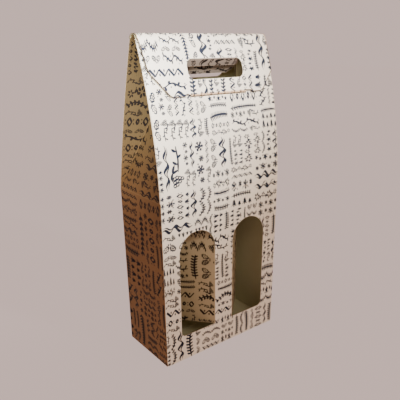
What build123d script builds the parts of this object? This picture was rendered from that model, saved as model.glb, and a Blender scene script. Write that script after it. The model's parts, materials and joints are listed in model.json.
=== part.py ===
from build123d import *
import math
import os

# Gift carrier for two wine bottles, cut and creased from one sheet of micro-flute board.
# Millimetres. +X is the carrier's right, +Y its back and +Z up. The origin is the middle
# of the base. The windows are in the front wall, towards -Y.

# Carton
width = 180.0
depth = 90.0
shoulder_height = 213.0
total_height = 385.0
board = 1.2
fold_radius = 1.0
slip = 0.4  # room between two layers of board, and round a flap in its cut-out

# Leaning panels: both bow outwards and meet in a rounded ridge a little in front of centre
ridge_offset = -6.0
ridge_radius = 8.0
front_bow_radius = 520.0
rear_bow_radius = 1230.0
mouth_drop = 5.0  # ridge to the cut edges that lie under it

# Gussets
gusset_rise = 120.0  # shoulder to the point of the triangle
gusset_reach = 39.7  # how far that point leans in from the side wall
valley_lean = 4.9  # how much further in the valley is at its top
wing_start = 6.0
wing_steps = 10
fold_limit = 2.6  # the most board that gathers behind a gusset's folds

# Windows
window_width = 53.0
window_bottom = 34.5
window_top = 171.0
window_middle = 40.5
window_corner = 6.0
left_flap_angle = 49.0
right_flap_angle = 44.5

# Hand holes through the lid, the front and the rear, and the tabs that stay on them
die_shift = 4.0  # the hand holes and the lid's free edge sit this far right of the middle
hole_width = 79.0
hole_height = 21.2
hole_drop = 25.3
hole_corner = 8.0
hole_margin = 1.4  # the front and rear holes are this much larger all round
grip_angle = 60.0
lid_grip_length = 10.0
grip_corner = 1.8

# Lid
lid_side_gap = 0.6
taper_half_width = 89.5
taper_drop = 37.0
taper_radius = 20.0
ear_half_width = 65.5
ear_drop = 63.6
ear_radius = 10.0
relief_half_width = 47.5
tuck_half_width = 40.0
tuck_drop = 62.0
tongue_length = 16.0
tongue_taper = 4.0
tongue_corner = 5.0

# Base: four flaps that lock by a tongue through a notch
base_reach = 52.0
base_side_reach = 42.0
base_taper = 6.0
base_gap = 0.1
lock_half_width = 41.0
lock_clearance = 1.0
notch_depth = 20.0
lock_overlap = 12.0
ramp_start = 2.0
ramp_end = 10.0

# Glue seam
seam_width = 15.0
seam_end = 6.0

half_width = width / 2
half_depth = depth / 2
inner_half_width = half_width - board
inner_half_depth = half_depth - board


def polar(centre, radius, angle):
    """The point at an angle on a circle, seen from the right with Y across and Z up."""
    a = math.radians(angle)
    return centre[0] + radius * math.cos(a), centre[1] + radius * math.sin(a)


def bearing(centre, point):
    """The angle of a point about a centre."""
    return math.degrees(math.atan2(point[1] - centre[1], point[0] - centre[0]))


def bow_centre(foot, radius, side):
    """The centre of a bow that starts at the foot and runs smoothly into the ridge."""
    to_ridge = radius - ridge_radius
    run = math.dist(foot, ridge_centre)
    radius_at_foot = radius if side > 0 else radius - lid_offset
    along = (radius_at_foot**2 - to_ridge**2 + run**2) / (2 * run)
    across = side * math.sqrt(radius_at_foot**2 - along**2)
    uy, uz = (ridge_centre[0] - foot[0]) / run, (ridge_centre[1] - foot[1]) / run
    return foot[0] + along * uy - across * uz, foot[1] + along * uz + across * uy


# The bowed panels in side view. The lid lies on the front panel with a little slip.
lid_offset = slip + board
lid_bow_radius = front_bow_radius + lid_offset
ridge_centre = (ridge_offset, total_height - ridge_radius)
crest = (ridge_offset, total_height)
front_foot = (-half_depth, shoulder_height)
rear_foot = (half_depth, shoulder_height)
front_centre = bow_centre(front_foot, lid_bow_radius, -1)
rear_centre = bow_centre(rear_foot, rear_bow_radius, 1)
mouth_height = total_height - mouth_drop
hole_top = total_height - hole_drop
hole_middle = hole_top - hole_height / 2


def front_angle(z, radius):
    """Where a layer of the front bow passes a height, as an angle about its centre."""
    return 180 - math.degrees(math.asin((z - front_centre[1]) / radius))


def rear_angle(z, radius):
    return math.degrees(math.asin((z - rear_centre[1]) / radius))


def front_point(z, radius):
    return polar(front_centre, radius, front_angle(z, radius))


def rear_point(z, radius):
    return polar(rear_centre, radius, rear_angle(z, radius))


def board_arc(centre, radius, start, end):
    """A layer of board bent to an arc, with its printed face at the radius."""
    with BuildSketch() as layer:
        with BuildLine():
            printed = CenterArc(centre, radius, start, end - start)
            plain = CenterArc(centre, radius - board, start, end - start)
            Line(printed @ 0, plain @ 0)
            Line(printed @ 1, plain @ 1)
        make_face()
    return layer.sketch


def finish(part, name):
    part.label = name
    export_step(part, f"parts/{name}.step")


os.makedirs("parts", exist_ok=True)

# Front wall with its two arched windows
window_radius = window_width / 2
window_spring = window_top - window_radius
hinge_reach = window_middle - window_radius


def window_outline(side, room):
    """A window in front view. With room it is the flap that was cut out of it."""
    near = side * hinge_reach
    free = side * (hinge_reach + room)
    far = side * (window_middle + window_radius - room)
    foot = window_bottom + room
    corner = window_corner - room
    bend = corner * (1 - math.sqrt(0.5))
    crown = window_radius - room
    with BuildSketch() as window:
        with BuildLine():
            Line((near, foot), (far - side * corner, foot))
            ThreePointArc(
                (far - side * corner, foot),
                (far - side * bend, foot + bend),
                (far, foot + corner),
            )
            Line((far, foot + corner), (far, window_spring))
            ThreePointArc(
                (far, window_spring),
                (side * window_middle, window_spring + crown),
                (free, window_spring),
            )
            if room:
                Line((free, window_spring), (near, window_spring))
            Line((near, window_spring), (near, foot))
        make_face()
    return window.sketch


with BuildPart() as front_panel:
    with BuildSketch(Plane.XY):
        with Locations((0, -half_depth + board / 2)):
            Rectangle(width, board)
    extrude(amount=shoulder_height)
    fillet(front_panel.edges().filter_by(Axis.Z).group_by(Axis.Y)[0], fold_radius)
    with BuildSketch(Plane.XZ.offset(half_depth)):
        add(window_outline(-1, 0))
        add(window_outline(1, 0))
    extrude(amount=-board, mode=Mode.SUBTRACT)
finish(front_panel.part, "front_panel")

# Each window's cut-out stays on as a flap, folded in about its upright crease
for name, side, angle in (("left", -1, left_flap_angle), ("right", 1, right_flap_angle)):
    with BuildPart() as window_flap:
        with BuildSketch(Plane.XZ.offset(half_depth)):
            add(window_outline(side, slip))
        extrude(amount=-board)
    window_crease = Axis((side * hinge_reach, -inner_half_depth, 0), (0, 0, 1))
    finish(window_flap.part.rotate(window_crease, side * angle), f"{name}_window_flap")

with BuildPart() as rear_panel:
    with BuildSketch(Plane.XY):
        with Locations((0, half_depth - board / 2)):
            Rectangle(width, board)
    extrude(amount=shoulder_height)
    fillet(rear_panel.edges().filter_by(Axis.Z).group_by(Axis.Y)[-1], fold_radius)
finish(rear_panel.part, "rear_panel")

for name, side in (("left", -1), ("right", 1)):
    with BuildPart() as side_panel:
        with BuildSketch(Plane.XY):
            with Locations((side * (half_width - board / 2), 0)):
                Rectangle(board, 2 * inner_half_depth)
        extrude(amount=shoulder_height)
    finish(side_panel.part, f"{name}_side_panel")

# Glue seam: a strip on the right wall, stuck inside the rear wall
with BuildPart() as glue_tab:
    with BuildSketch(Plane.XZ.offset(-inner_half_depth)):
        with BuildLine():
            Polyline(
                (inner_half_width, seam_end),
                (inner_half_width, shoulder_height - seam_end),
                (inner_half_width - seam_width, shoulder_height - 2 * seam_end),
                (inner_half_width - seam_width, 2 * seam_end),
                close=True,
            )
        make_face()
    extrude(amount=board)
finish(glue_tab.part, "glue_tab")

# The tongue turns about its crease as the lid turns about the crest. With this curl it
# always crosses the front panel at one place, so the slit can be a close fit.
lid_inner_radius = lid_bow_radius - board
tuck_crease = front_point(total_height - tuck_drop, lid_inner_radius)
tuck_radius = math.dist(crest, tuck_crease)
lid_lean = bearing(tuck_crease, crest)
lid_opening = lid_lean + 90 - bearing(rear_centre, ridge_centre)
tongue_opening = lid_lean + 180 - front_angle(tuck_crease[1], lid_inner_radius)
tongue_curl = tuck_radius / (2 * tongue_opening / lid_opening + 1)
tongue_centre = polar(tuck_crease, tongue_curl, lid_lean)
tongue_start = lid_lean - 180

# Front shoulder panel
with BuildPart() as front_shoulder_panel:
    with BuildSketch(Plane.YZ.offset(-half_width)):
        mouth = front_angle(mouth_height, front_bow_radius)
        add(board_arc(front_centre, front_bow_radius, mouth, 181))
    extrude(amount=width)
    split(bisect_by=Plane.XY.offset(shoulder_height), keep=Keep.TOP)
    with BuildSketch(Plane.XZ):
        with Locations((die_shift, hole_middle)):
            RectangleRounded(
                hole_width + 2 * hole_margin, hole_height + 2 * hole_margin, hole_corner + hole_margin
            )
    extrude(amount=half_depth, mode=Mode.SUBTRACT)
    slit_half_width = tuck_half_width + slip
    with BuildSketch(Plane.YZ.offset(die_shift - slit_half_width)):
        with BuildLine():
            slit_low = CenterArc(tongue_centre, tongue_curl + board + slip, tongue_start - 10, 20)
            slit_high = CenterArc(tongue_centre, tongue_curl - slip, tongue_start - 10, 20)
            Line(slit_low @ 0, slit_high @ 0)
            Line(slit_low @ 1, slit_high @ 1)
        make_face()
    extrude(amount=2 * slit_half_width, mode=Mode.SUBTRACT)
finish(front_shoulder_panel.part, "front_shoulder_panel")

# Rear shoulder panel, which rolls over to the crest
with BuildPart() as rear_shoulder_panel:
    rear_roll = bearing(rear_centre, ridge_centre)
    with BuildSketch(Plane.YZ.offset(-half_width)):
        add(board_arc(rear_centre, rear_bow_radius, -1, rear_roll))
        add(board_arc(ridge_centre, ridge_radius, rear_roll, 90))
    extrude(amount=width)
    split(bisect_by=Plane.XY.offset(shoulder_height), keep=Keep.TOP)
    with BuildSketch(Plane.XZ):
        with Locations((die_shift, hole_middle)):
            RectangleRounded(
                hole_width + 2 * hole_margin, hole_height + 2 * hole_margin, hole_corner + hole_margin
            )
    extrude(amount=-half_depth, mode=Mode.SUBTRACT)
finish(rear_shoulder_panel.part, "rear_shoulder_panel")

# Lid: it carries the ridge on over the crest and lies on the front panel
with BuildPart() as lid:
    front_roll = bearing(front_centre, ridge_centre)
    with BuildSketch(Plane.YZ.offset(-half_width)):
        add(board_arc(ridge_centre, ridge_radius, 90, front_roll))
        add(board_arc(front_centre, lid_bow_radius, front_roll, 178))
    extrude(amount=width)
    with BuildSketch(Plane.XZ) as lid_outline:
        with BuildLine():
            for side in (-1, 1):
                Polyline(
                    (die_shift, total_height + 1),
                    (die_shift + side * width, total_height + 1),
                    (die_shift + side * (half_width - lid_side_gap + die_shift), total_height),
                    (die_shift + side * taper_half_width, total_height - taper_drop),
                    (die_shift + side * ear_half_width, total_height - ear_drop),
                    (die_shift + side * relief_half_width, total_height - ear_drop),
                    (die_shift + side * relief_half_width, total_height - tuck_drop),
                    (die_shift, total_height - tuck_drop),
                )
        make_face()
        for drop, reach, radius in (
            (taper_drop, taper_half_width, taper_radius),
            (ear_drop, ear_half_width, ear_radius),
        ):
            height = total_height - drop
            corners = lid_outline.vertices().filter_by_position(Axis.Y, height - 0.1, height + 0.1)
            fillet([c for c in corners if abs(c.X - die_shift) > reach - 1], radius)
        with Locations((0, total_height - ear_drop)):
            Rectangle(width - 2 * lid_side_gap, 3 * ear_drop, mode=Mode.INTERSECT)
        with Locations((die_shift, hole_middle)):
            RectangleRounded(hole_width, hole_height, hole_corner, mode=Mode.SUBTRACT)
    extrude(amount=width, mode=Mode.INTERSECT)
    # The free edge is cut square to the board at the tongue's crease
    with BuildSketch(Plane.YZ.offset(die_shift - relief_half_width)):
        edge_angle = front_angle(tuck_crease[1], lid_inner_radius)
        below = tuck_crease[1] - board
        with BuildLine():
            Polyline(
                tuck_crease,
                polar(tuck_crease, 4 * board, edge_angle),
                (polar(tuck_crease, 4 * board, edge_angle)[0], below),
                (tuck_crease[0], below),
                close=True,
            )
        make_face()
    extrude(amount=2 * relief_half_width, mode=Mode.SUBTRACT)
finish(lid.part, "lid")

with BuildPart() as tuck_tongue:
    tongue_end = tongue_start + math.degrees(tongue_length / tongue_curl)
    with BuildSketch(Plane.YZ.offset(die_shift - tuck_half_width)):
        add(board_arc(tongue_centre, tongue_curl + board, tongue_start, tongue_end))
    extrude(amount=2 * tuck_half_width)
    tip_y, tip_z = polar(tongue_centre, tongue_curl, tongue_end)
    with BuildSketch(Plane.XY.offset(tuck_crease[1])):
        with BuildLine():
            for side in (-1, 1):
                Polyline(
                    (die_shift, tuck_crease[0] - board),
                    (die_shift + side * tuck_half_width, tuck_crease[0] - board),
                    (die_shift + side * tuck_half_width, tuck_crease[0]),
                    (die_shift + side * (tuck_half_width - tongue_taper), tip_y),
                    (die_shift, tip_y),
                )
        make_face()
    extrude(amount=3 * tongue_length, both=True, mode=Mode.INTERSECT)
    fillet(tuck_tongue.edges().filter_by(Axis.Z, tolerance=60).group_by(Axis.Y)[-1], tongue_corner)
finish(tuck_tongue.part, "tuck_tongue")


def grip_tab(radius, margin, length):
    """A hand hole's cut-out, bent like its layer of board and still in its closed place."""
    top = hole_top + margin
    tab_width = hole_width + 2 * (margin - slip)
    tab_height = hole_height + 2 * (margin - slip)
    crease_width = hole_width - 2 * hole_corner
    with BuildPart() as tab:
        with BuildSketch(Plane.YZ.offset(-half_width)):
            add(board_arc(front_centre, radius, front_roll, 178))
        extrude(amount=width)
        with BuildSketch(Plane.XZ) as outline:
            with Locations((die_shift, hole_middle)):
                RectangleRounded(tab_width, tab_height, hole_corner + margin - slip)
            with Locations((die_shift, top - length / 2)):
                Rectangle(tab_width, length, mode=Mode.INTERSECT)
            if length < tab_height:
                fillet(outline.vertices().group_by(Axis.Y)[0], grip_corner)
            with Locations((die_shift, top - slip / 2)):
                Rectangle(crease_width, slip)
        extrude(amount=half_depth, mode=Mode.INTERSECT)
    pivot = front_point(top, radius - board)
    return tab.part.rotate(Axis((0, *pivot), (1, 0, 0)), grip_angle)


finish(grip_tab(lid_bow_radius, 0, lid_grip_length), "lid_grip")
finish(grip_tab(front_bow_radius, hole_margin, hole_height + 2 * hole_margin), "front_grip")

# Gussets. The printed faces meet along the creases, so every crease is drawn on them.
gusset_top = shoulder_height + gusset_rise
gusset_front_y = front_point(gusset_top, front_bow_radius)[0]
gusset_rear_y = rear_point(gusset_top, rear_bow_radius)[0]
gusset_point_y = (gusset_front_y + gusset_rear_y) / 2
gusset_x = half_width - gusset_reach
gusset_lean = math.atan2(gusset_reach, gusset_rise)
gusset_cut = board / math.cos(gusset_lean)  # the board's thickness, measured level


def crease_line(z, front):
    """The inner end of a gusset wing at a height: up the triangle, then up the valley."""
    up = min((z - shoulder_height) / gusset_rise, 1)
    beyond = max((z - gusset_top) / (mouth_height - gusset_top), 0)
    corner_y = -inner_half_depth if front else inner_half_depth
    x = half_width - gusset_reach * up - valley_lean * beyond
    y = corner_y + (gusset_point_y - corner_y) * up + (ridge_offset - gusset_point_y) * beyond
    return x, y


def wing_section(side, front, z):
    """A wing's outline at a height: along its plain face, then back along its print."""
    crease_x, crease_y = crease_line(z, front)
    if front:
        wall_y = front_point(z, front_bow_radius - board)[0]
    else:
        wall_y = rear_point(z, rear_bow_radius - board)[0]
    across = half_width - crease_x
    along = abs(crease_y - wall_y)
    run = math.hypot(across, along)
    inward = 1 if front else -1
    fold_width = min(board * run / along, fold_limit)
    return [
        (side * half_width, wall_y),
        (side * (crease_x - board * along / run), crease_y - inward * board * across / run),
        (side * (crease_x - fold_width), crease_y),
        (side * crease_x, crease_y),
        (side * half_width, wall_y + inward * board * run / across),
    ]


for name, side in (("left", -1), ("right", 1)):
    with BuildPart() as gusset_triangle:
        slope = Plane(
            origin=(side * half_width, 0, shoulder_height),
            x_dir=(0, 1, 0),
            z_dir=(side * math.cos(gusset_lean), 0, math.sin(gusset_lean)),
        )
        with BuildSketch(slope):
            up_slope = slope.to_local_coords(Vector(side * gusset_x, 0, gusset_top)).Y
            with BuildLine():
                Polyline(
                    (-inner_half_depth, 0),
                    (inner_half_depth, 0),
                    (gusset_point_y, up_slope),
                    close=True,
                )
            make_face()
        extrude(amount=gusset_cut, dir=(-side, 0, 0))
    finish(gusset_triangle.part, f"{name}_gusset_triangle")

    for place, front in (("front", True), ("rear", False)):
        low = shoulder_height + wing_start
        lower = [low + (gusset_top - low) * step / wing_steps for step in range(wing_steps + 1)]
        upper = [gusset_top + (mouth_height - gusset_top) * step / 6 for step in range(7)]
        with BuildPart() as gusset_wing:
            for heights in (lower, upper):
                for z in heights:
                    with BuildSketch(Plane.XY.offset(z)):
                        with BuildLine():
                            Polyline(*wing_section(side, front, z), close=True)
                        make_face()
                loft(ruled=True)
        finish(gusset_wing.part, f"{name}_gusset_{place}")

# Base. From below: the front flap, the two side flaps, then the rear flap. The front flap's
# tongue climbs between the side flaps, through the rear flap's notch, and lies on top.
base_step = board + base_gap
rear_flap_bottom = 2 * base_step
tongue_bottom = 3 * base_step
notch_y = inner_half_depth - base_reach + notch_depth
lock_reach = notch_y + lock_overlap

with BuildPart() as base_flap_front:
    reach_y = base_reach - inner_half_depth
    with BuildSketch(Plane.XY):
        with BuildLine():
            Polyline(
                (-inner_half_width, -inner_half_depth),
                (inner_half_width, -inner_half_depth),
                (inner_half_width - base_taper, reach_y),
                (lock_half_width, reach_y),
                (lock_half_width, ramp_start),
                (-lock_half_width, ramp_start),
                (-lock_half_width, reach_y),
                (-inner_half_width + base_taper, reach_y),
                close=True,
            )
        make_face()
    extrude(amount=board)
    with BuildSketch(Plane.YZ.offset(-lock_half_width)):
        with BuildLine():
            Polyline(
                (ramp_start, 0),
                (ramp_end, tongue_bottom),
                (lock_reach, tongue_bottom),
                (lock_reach, tongue_bottom + board),
                (ramp_end, tongue_bottom + board),
                (ramp_start, board),
                close=True,
            )
        make_face()
    extrude(amount=2 * lock_half_width)
    tongue_tip = base_flap_front.edges().filter_by(Axis.Z).group_by(Axis.Y)[-1]
    fillet(tongue_tip, lock_overlap / 2)
finish(base_flap_front.part, "base_flap_front")

with BuildPart() as base_flap_rear:
    notch_half_width = lock_half_width + lock_clearance
    free_y = inner_half_depth - base_reach
    with BuildSketch(Plane.XY.offset(rear_flap_bottom)):
        with BuildLine():
            Polyline(
                (-inner_half_width, inner_half_depth),
                (inner_half_width, inner_half_depth),
                (inner_half_width - base_taper, free_y),
                (notch_half_width, free_y),
                (notch_half_width, notch_y),
                (-notch_half_width, notch_y),
                (-notch_half_width, free_y),
                (-inner_half_width + base_taper, free_y),
                close=True,
            )
        make_face()
    extrude(amount=board)
finish(base_flap_rear.part, "base_flap_rear")

for name, side in (("left", -1), ("right", 1)):
    with BuildPart() as base_flap_side:
        with BuildSketch(Plane.XY.offset(base_step)):
            with BuildLine():
                Polyline(
                    (side * inner_half_width, -inner_half_depth),
                    (side * inner_half_width, inner_half_depth),
                    (side * (inner_half_width - base_side_reach), inner_half_depth - base_side_reach / 3),
                    (side * (inner_half_width - base_side_reach), base_side_reach / 3 - inner_half_depth),
                    close=True,
                )
            make_face()
        extrude(amount=board)
    finish(base_flap_side.part, f"base_flap_{name}")
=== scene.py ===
import bpy
import json
import math
import random
import numpy as np
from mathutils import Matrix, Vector
from mathutils.geometry import delaunay_2d_cdt

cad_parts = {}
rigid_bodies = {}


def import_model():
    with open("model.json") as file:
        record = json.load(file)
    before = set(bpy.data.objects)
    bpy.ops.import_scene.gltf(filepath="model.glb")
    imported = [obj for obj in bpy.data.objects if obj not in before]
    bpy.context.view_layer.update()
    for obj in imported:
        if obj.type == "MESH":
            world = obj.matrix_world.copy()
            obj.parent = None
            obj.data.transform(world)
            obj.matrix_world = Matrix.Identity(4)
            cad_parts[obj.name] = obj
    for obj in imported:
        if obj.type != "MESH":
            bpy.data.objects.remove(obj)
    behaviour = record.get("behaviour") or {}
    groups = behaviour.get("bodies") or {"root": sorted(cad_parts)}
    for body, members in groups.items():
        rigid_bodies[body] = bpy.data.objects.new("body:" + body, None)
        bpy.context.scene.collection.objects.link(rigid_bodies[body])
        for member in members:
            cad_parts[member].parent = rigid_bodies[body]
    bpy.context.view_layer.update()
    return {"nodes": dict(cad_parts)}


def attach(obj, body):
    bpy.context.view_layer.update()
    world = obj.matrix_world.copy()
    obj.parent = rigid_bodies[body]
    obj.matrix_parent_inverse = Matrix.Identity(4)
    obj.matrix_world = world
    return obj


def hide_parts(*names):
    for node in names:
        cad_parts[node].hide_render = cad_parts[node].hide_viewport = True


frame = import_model()
MM = 0.001

# ---------------------------------------------------------------- sizes, in millimetres
HALF_WIDTH = 90.0
HALF_DEPTH = 45.0
SHOULDER = 213.0
TOP = 385.0
BOARD = 1.2
INNER_DEPTH = HALF_DEPTH - BOARD
LINER = 0.22
FOLD = 1.5  # outer radius of a folded corner
DENT, DENT_WIDTH = 0.28, 1.1  # of a pressed crease, in the printed face
SLIP = 0.4
WING_SLIP = 0.3  # from a wing to the inside of the ridge's roll
SIDES = ((-1, "left"), (1, "right"))

RIDGE_Y = -6.0
RIDGE_RADIUS = 8.0
FRONT_BOW = 520.0
REAR_BOW = 1230.0
LID_BOW = FRONT_BOW + SLIP + BOARD
MOUTH = TOP - 5.0  # the front slope's top, and where the rear slope's folded sides end
MOUTH_STEP = 0.01  # up the sheet, where the rear slope's folded sides end in cut ones

GUSSET_RISE = 120.0
GUSSET_REACH = 39.7
VALLEY_LEAN = 4.9

WINDOW_WIDTH = 53.0
WINDOW_LOW = 34.5
WINDOW_HIGH = 171.0
WINDOW_SPRING = WINDOW_HIGH - WINDOW_WIDTH / 2  # where the arch starts
WINDOW_MIDDLE = 40.5
WINDOW_CORNER = 6.0
FLAP_ANGLES = {-1: 49.0, 1: 44.5}

SHIFT = 4.0  # the hand hole and the tongue sit this far off the middle
HOLE_WIDTH = 79.0
HOLE_HEIGHT = 21.2
HOLE_TOP = TOP - 25.3
HOLE_CORNER = 8.0
HOLE_MARGIN = 1.4  # the front slope's hole is this much larger than the lid's
GRIP_ANGLE = 60.0
LID_GRIP = 10.0
LID_GRIP_CORNER = 1.8

LID_HALF = HALF_WIDTH - 0.6
EAR_DROP = 63.6
TUCK_DROP = 62.0
TUCK_HALF = 40.0
RELIEF_HALF = 47.5
EAR_HALF = 65.5
EAR_RADIUS = 10.0
TAPER_HALF = 89.5
TAPER_DROP = 37.0
TAPER_RADIUS = 20.0
TONGUE = 16.0
TONGUE_TAPER = 4.0
TONGUE_CORNER = 5.0


# ---------------------------------------------------------------- side view of the gable
def polar(centre, radius, degrees):
    a = math.radians(degrees)
    return centre[0] + radius * math.cos(a), centre[1] + radius * math.sin(a)


def bearing(centre, point):
    return math.degrees(math.atan2(point[1] - centre[1], point[0] - centre[0]))


def bow_centre(foot, at_foot, to_ridge, side):
    """The point at one distance from a slope's foot and another from the ridge."""
    run = math.dist(foot, RIDGE)
    along = (at_foot**2 - to_ridge**2 + run**2) / (2 * run)
    across = side * math.sqrt(at_foot**2 - along**2)
    uy, uz = (RIDGE[0] - foot[0]) / run, (RIDGE[1] - foot[1]) / run
    return foot[0] + along * uy - across * uz, foot[1] + along * uz + across * uy


RIDGE = (RIDGE_Y, TOP - RIDGE_RADIUS)
CREST = (RIDGE_Y, TOP)
FRONT_CENTRE = bow_centre((-HALF_DEPTH, SHOULDER), FRONT_BOW, LID_BOW - RIDGE_RADIUS, -1)
REAR_CENTRE = bow_centre((HALF_DEPTH, SHOULDER), REAR_BOW, REAR_BOW - RIDGE_RADIUS, 1)
FRONT_FOOT = bearing(FRONT_CENTRE, (-HALF_DEPTH, SHOULDER)) % 360
REAR_FOOT = bearing(REAR_CENTRE, (HALF_DEPTH, SHOULDER))
FRONT_ROLL = bearing(FRONT_CENTRE, RIDGE)
REAR_ROLL = bearing(REAR_CENTRE, RIDGE)


def front_angle(z, radius):
    return 180 - math.degrees(math.asin((z - FRONT_CENTRE[1]) / radius))


def rear_angle(z, radius):
    return math.degrees(math.asin((z - REAR_CENTRE[1]) / radius))


def arc_length(radius, degrees):
    return radius * math.radians(degrees)


def front_v(z):
    """Distance up the front slope from the shoulder to a height."""
    return arc_length(FRONT_BOW, FRONT_FOOT - front_angle(z, FRONT_BOW))


def rear_v(z):
    """Distance up the rear slope from the shoulder to a height."""
    return arc_length(REAR_BOW, rear_angle(z, REAR_BOW) - REAR_FOOT)


LID_ROLL = arc_length(RIDGE_RADIUS, FRONT_ROLL - 90)


def lid_v(drop):
    """Minus the distance down the lid from the crest to a drop in height."""
    angle = front_angle(TOP - drop, LID_BOW)
    if angle > FRONT_ROLL:
        return -(LID_ROLL + arc_length(LID_BOW, angle - FRONT_ROLL))
    return -arc_length(RIDGE_RADIUS, 90 - math.degrees(math.asin(1 - drop / RIDGE_RADIUS)))


TUCK_ANGLE = front_angle(TOP - TUCK_DROP, LID_BOW - BOARD)
TUCK_CREASE = polar(FRONT_CENTRE, LID_BOW - BOARD, TUCK_ANGLE)
LID_LEAN = bearing(TUCK_CREASE, CREST)
LID_OPENING = LID_LEAN + 90 - REAR_ROLL
TONGUE_OPENING = LID_LEAN + 180 - front_angle(TUCK_CREASE[1], LID_BOW - BOARD)
TONGUE_CURL = math.dist(CREST, TUCK_CREASE) / (2 * TONGUE_OPENING / LID_OPENING + 1)
TONGUE_CENTRE = polar(TUCK_CREASE, TONGUE_CURL, LID_LEAN)
TONGUE_START = LID_LEAN - 180
TUCK_FOLD = BOARD * math.radians(TONGUE_OPENING)  # round the outside of the tongue's crease
# The lid ends on the line square to the board through the crease
LID_END = TOP - polar(FRONT_CENTRE, LID_BOW, TUCK_ANGLE)[1]

GUSSET_TOP = SHOULDER + GUSSET_RISE
GUSSET_LEAN = math.atan2(GUSSET_REACH, GUSSET_RISE)
GUSSET_LENGTH = math.hypot(GUSSET_REACH, GUSSET_RISE)
FRONT_AT_POINT = polar(FRONT_CENTRE, FRONT_BOW, front_angle(GUSSET_TOP, FRONT_BOW))[0]
REAR_AT_POINT = polar(REAR_CENTRE, REAR_BOW, rear_angle(GUSSET_TOP, REAR_BOW))[0]
POINT_Y = (FRONT_AT_POINT + REAR_AT_POINT) / 2
ROLL_INSIDE = RIDGE_RADIUS - BOARD - WING_SLIP

# How far each panel's outline reaches round the folds at its sides
WALL_END = HALF_WIDTH - FOLD + FOLD * math.pi / 4
SIDE_END = HALF_DEPTH - FOLD + FOLD * math.pi / 4
BOW_END = HALF_WIDTH - FOLD + FOLD * math.pi / 2

FRONT_HIGH = front_v(MOUTH)
REAR_LOW = rear_v(MOUTH)
REAR_ROLL_V = arc_length(REAR_BOW, REAR_ROLL - REAR_FOOT)
REAR_HIGH = REAR_ROLL_V + arc_length(RIDGE_RADIUS, 90 - REAR_ROLL)


# ---------------------------------------------------------------- surfaces of the printed face
# Each takes flat sheet coordinates, u across and v up as seen from outside, and returns the
# point on the printed face and its outward normal.
def spokes(angle):
    """Unit vectors in the side view, at angles in radians from straight back."""
    return np.stack([np.zeros_like(angle), np.cos(angle), np.sin(angle)], 1)


def rounded(a, half, most):
    """Across a panel with folded sides: the shift across, the sink, and the normal's two parts."""
    over = np.clip(np.abs(a) - (half - FOLD), 0, FOLD * most)
    turn = over / FOLD
    across = np.sign(a) * np.where(over > 0, half - FOLD + FOLD * np.sin(turn), np.abs(a))
    return across, FOLD * (1 - np.cos(turn)), np.sign(a) * np.sin(turn), np.cos(turn)


def crease_dent(v, at):
    return DENT * np.exp(-((v - at) / DENT_WIDTH) ** 2)


def wall_surface(across, outward, half, level):
    e, d = np.array(across, float), np.array(outward, float)

    def surface(u, v):
        a, sink, side, face = rounded(u, half, math.pi / 4)
        p = a[:, None] * e + (level - sink - crease_dent(v, SHOULDER))[:, None] * d
        p[:, 2] += v
        return p, side[:, None] * e + face[:, None] * d

    return surface


def on_bow(across, angle, reach, on_roll, centre):
    """Points on a bow, or round the ridge where on_roll says so, and their spokes."""
    n = spokes(np.radians(angle))
    p = across + reach[:, None] * n
    p[:, 1] += np.where(on_roll, RIDGE[0], centre[0])
    p[:, 2] += np.where(on_roll, RIDGE[1], centre[1])
    return p, n


def slope_surface(across, centre, radius, foot, way, roll=None):
    """A bowed slope. way is how the angle goes as v goes up, and roll is where the ridge starts."""
    e = np.array(across, float)

    def surface(u, v):
        angle = foot + way * np.degrees(v / radius)
        on_roll = raw = np.zeros(len(v), bool)
        if roll is not None:
            start = arc_length(radius, (roll - foot) * way)
            on_roll, raw = v > start, v > REAR_LOW + 2 * MOUTH_STEP
            angle = np.where(on_roll, roll + way * np.degrees((v - start) / RIDGE_RADIUS), angle)
        # Above the mouth the sides are cut edges, not folds
        folded = zip((u, 0, 0, 1), rounded(u, HALF_WIDTH, math.pi / 2))
        a, sink, side, face = (np.where(raw, cut, fold) for cut, fold in folded)
        reach = np.where(on_roll, RIDGE_RADIUS, radius) - (sink + crease_dent(v, 0))
        p, n = on_bow(a[:, None] * e, angle, reach, on_roll, centre)
        return p, side[:, None] * e + face[:, None] * n

    return surface


def lid_surface(u, v):
    down = -v
    on_roll = down < LID_ROLL
    round_ridge = 90 + np.degrees(down / RIDGE_RADIUS)
    on_slope = FRONT_ROLL + np.degrees((down - LID_ROLL) / LID_BOW)
    return on_bow(
        u[:, None] * np.array((1.0, 0, 0)), np.where(on_roll, round_ridge, on_slope),
        np.where(on_roll, RIDGE_RADIUS, LID_BOW), on_roll, FRONT_CENTRE,
    )


def crease_line(z, front):
    """Distance out and depth of a wing's inner end at a height."""
    up = np.minimum((z - SHOULDER) / GUSSET_RISE, 1)
    beyond = np.clip((z - GUSSET_TOP) / (MOUTH - GUSSET_TOP), 0, 1)
    corner = -INNER_DEPTH if front else INNER_DEPTH
    x = HALF_WIDTH - GUSSET_REACH * up - VALLEY_LEAN * beyond
    y = corner + (POINT_Y - corner) * up + (RIDGE_Y - POINT_Y) * beyond
    return x, y


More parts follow.
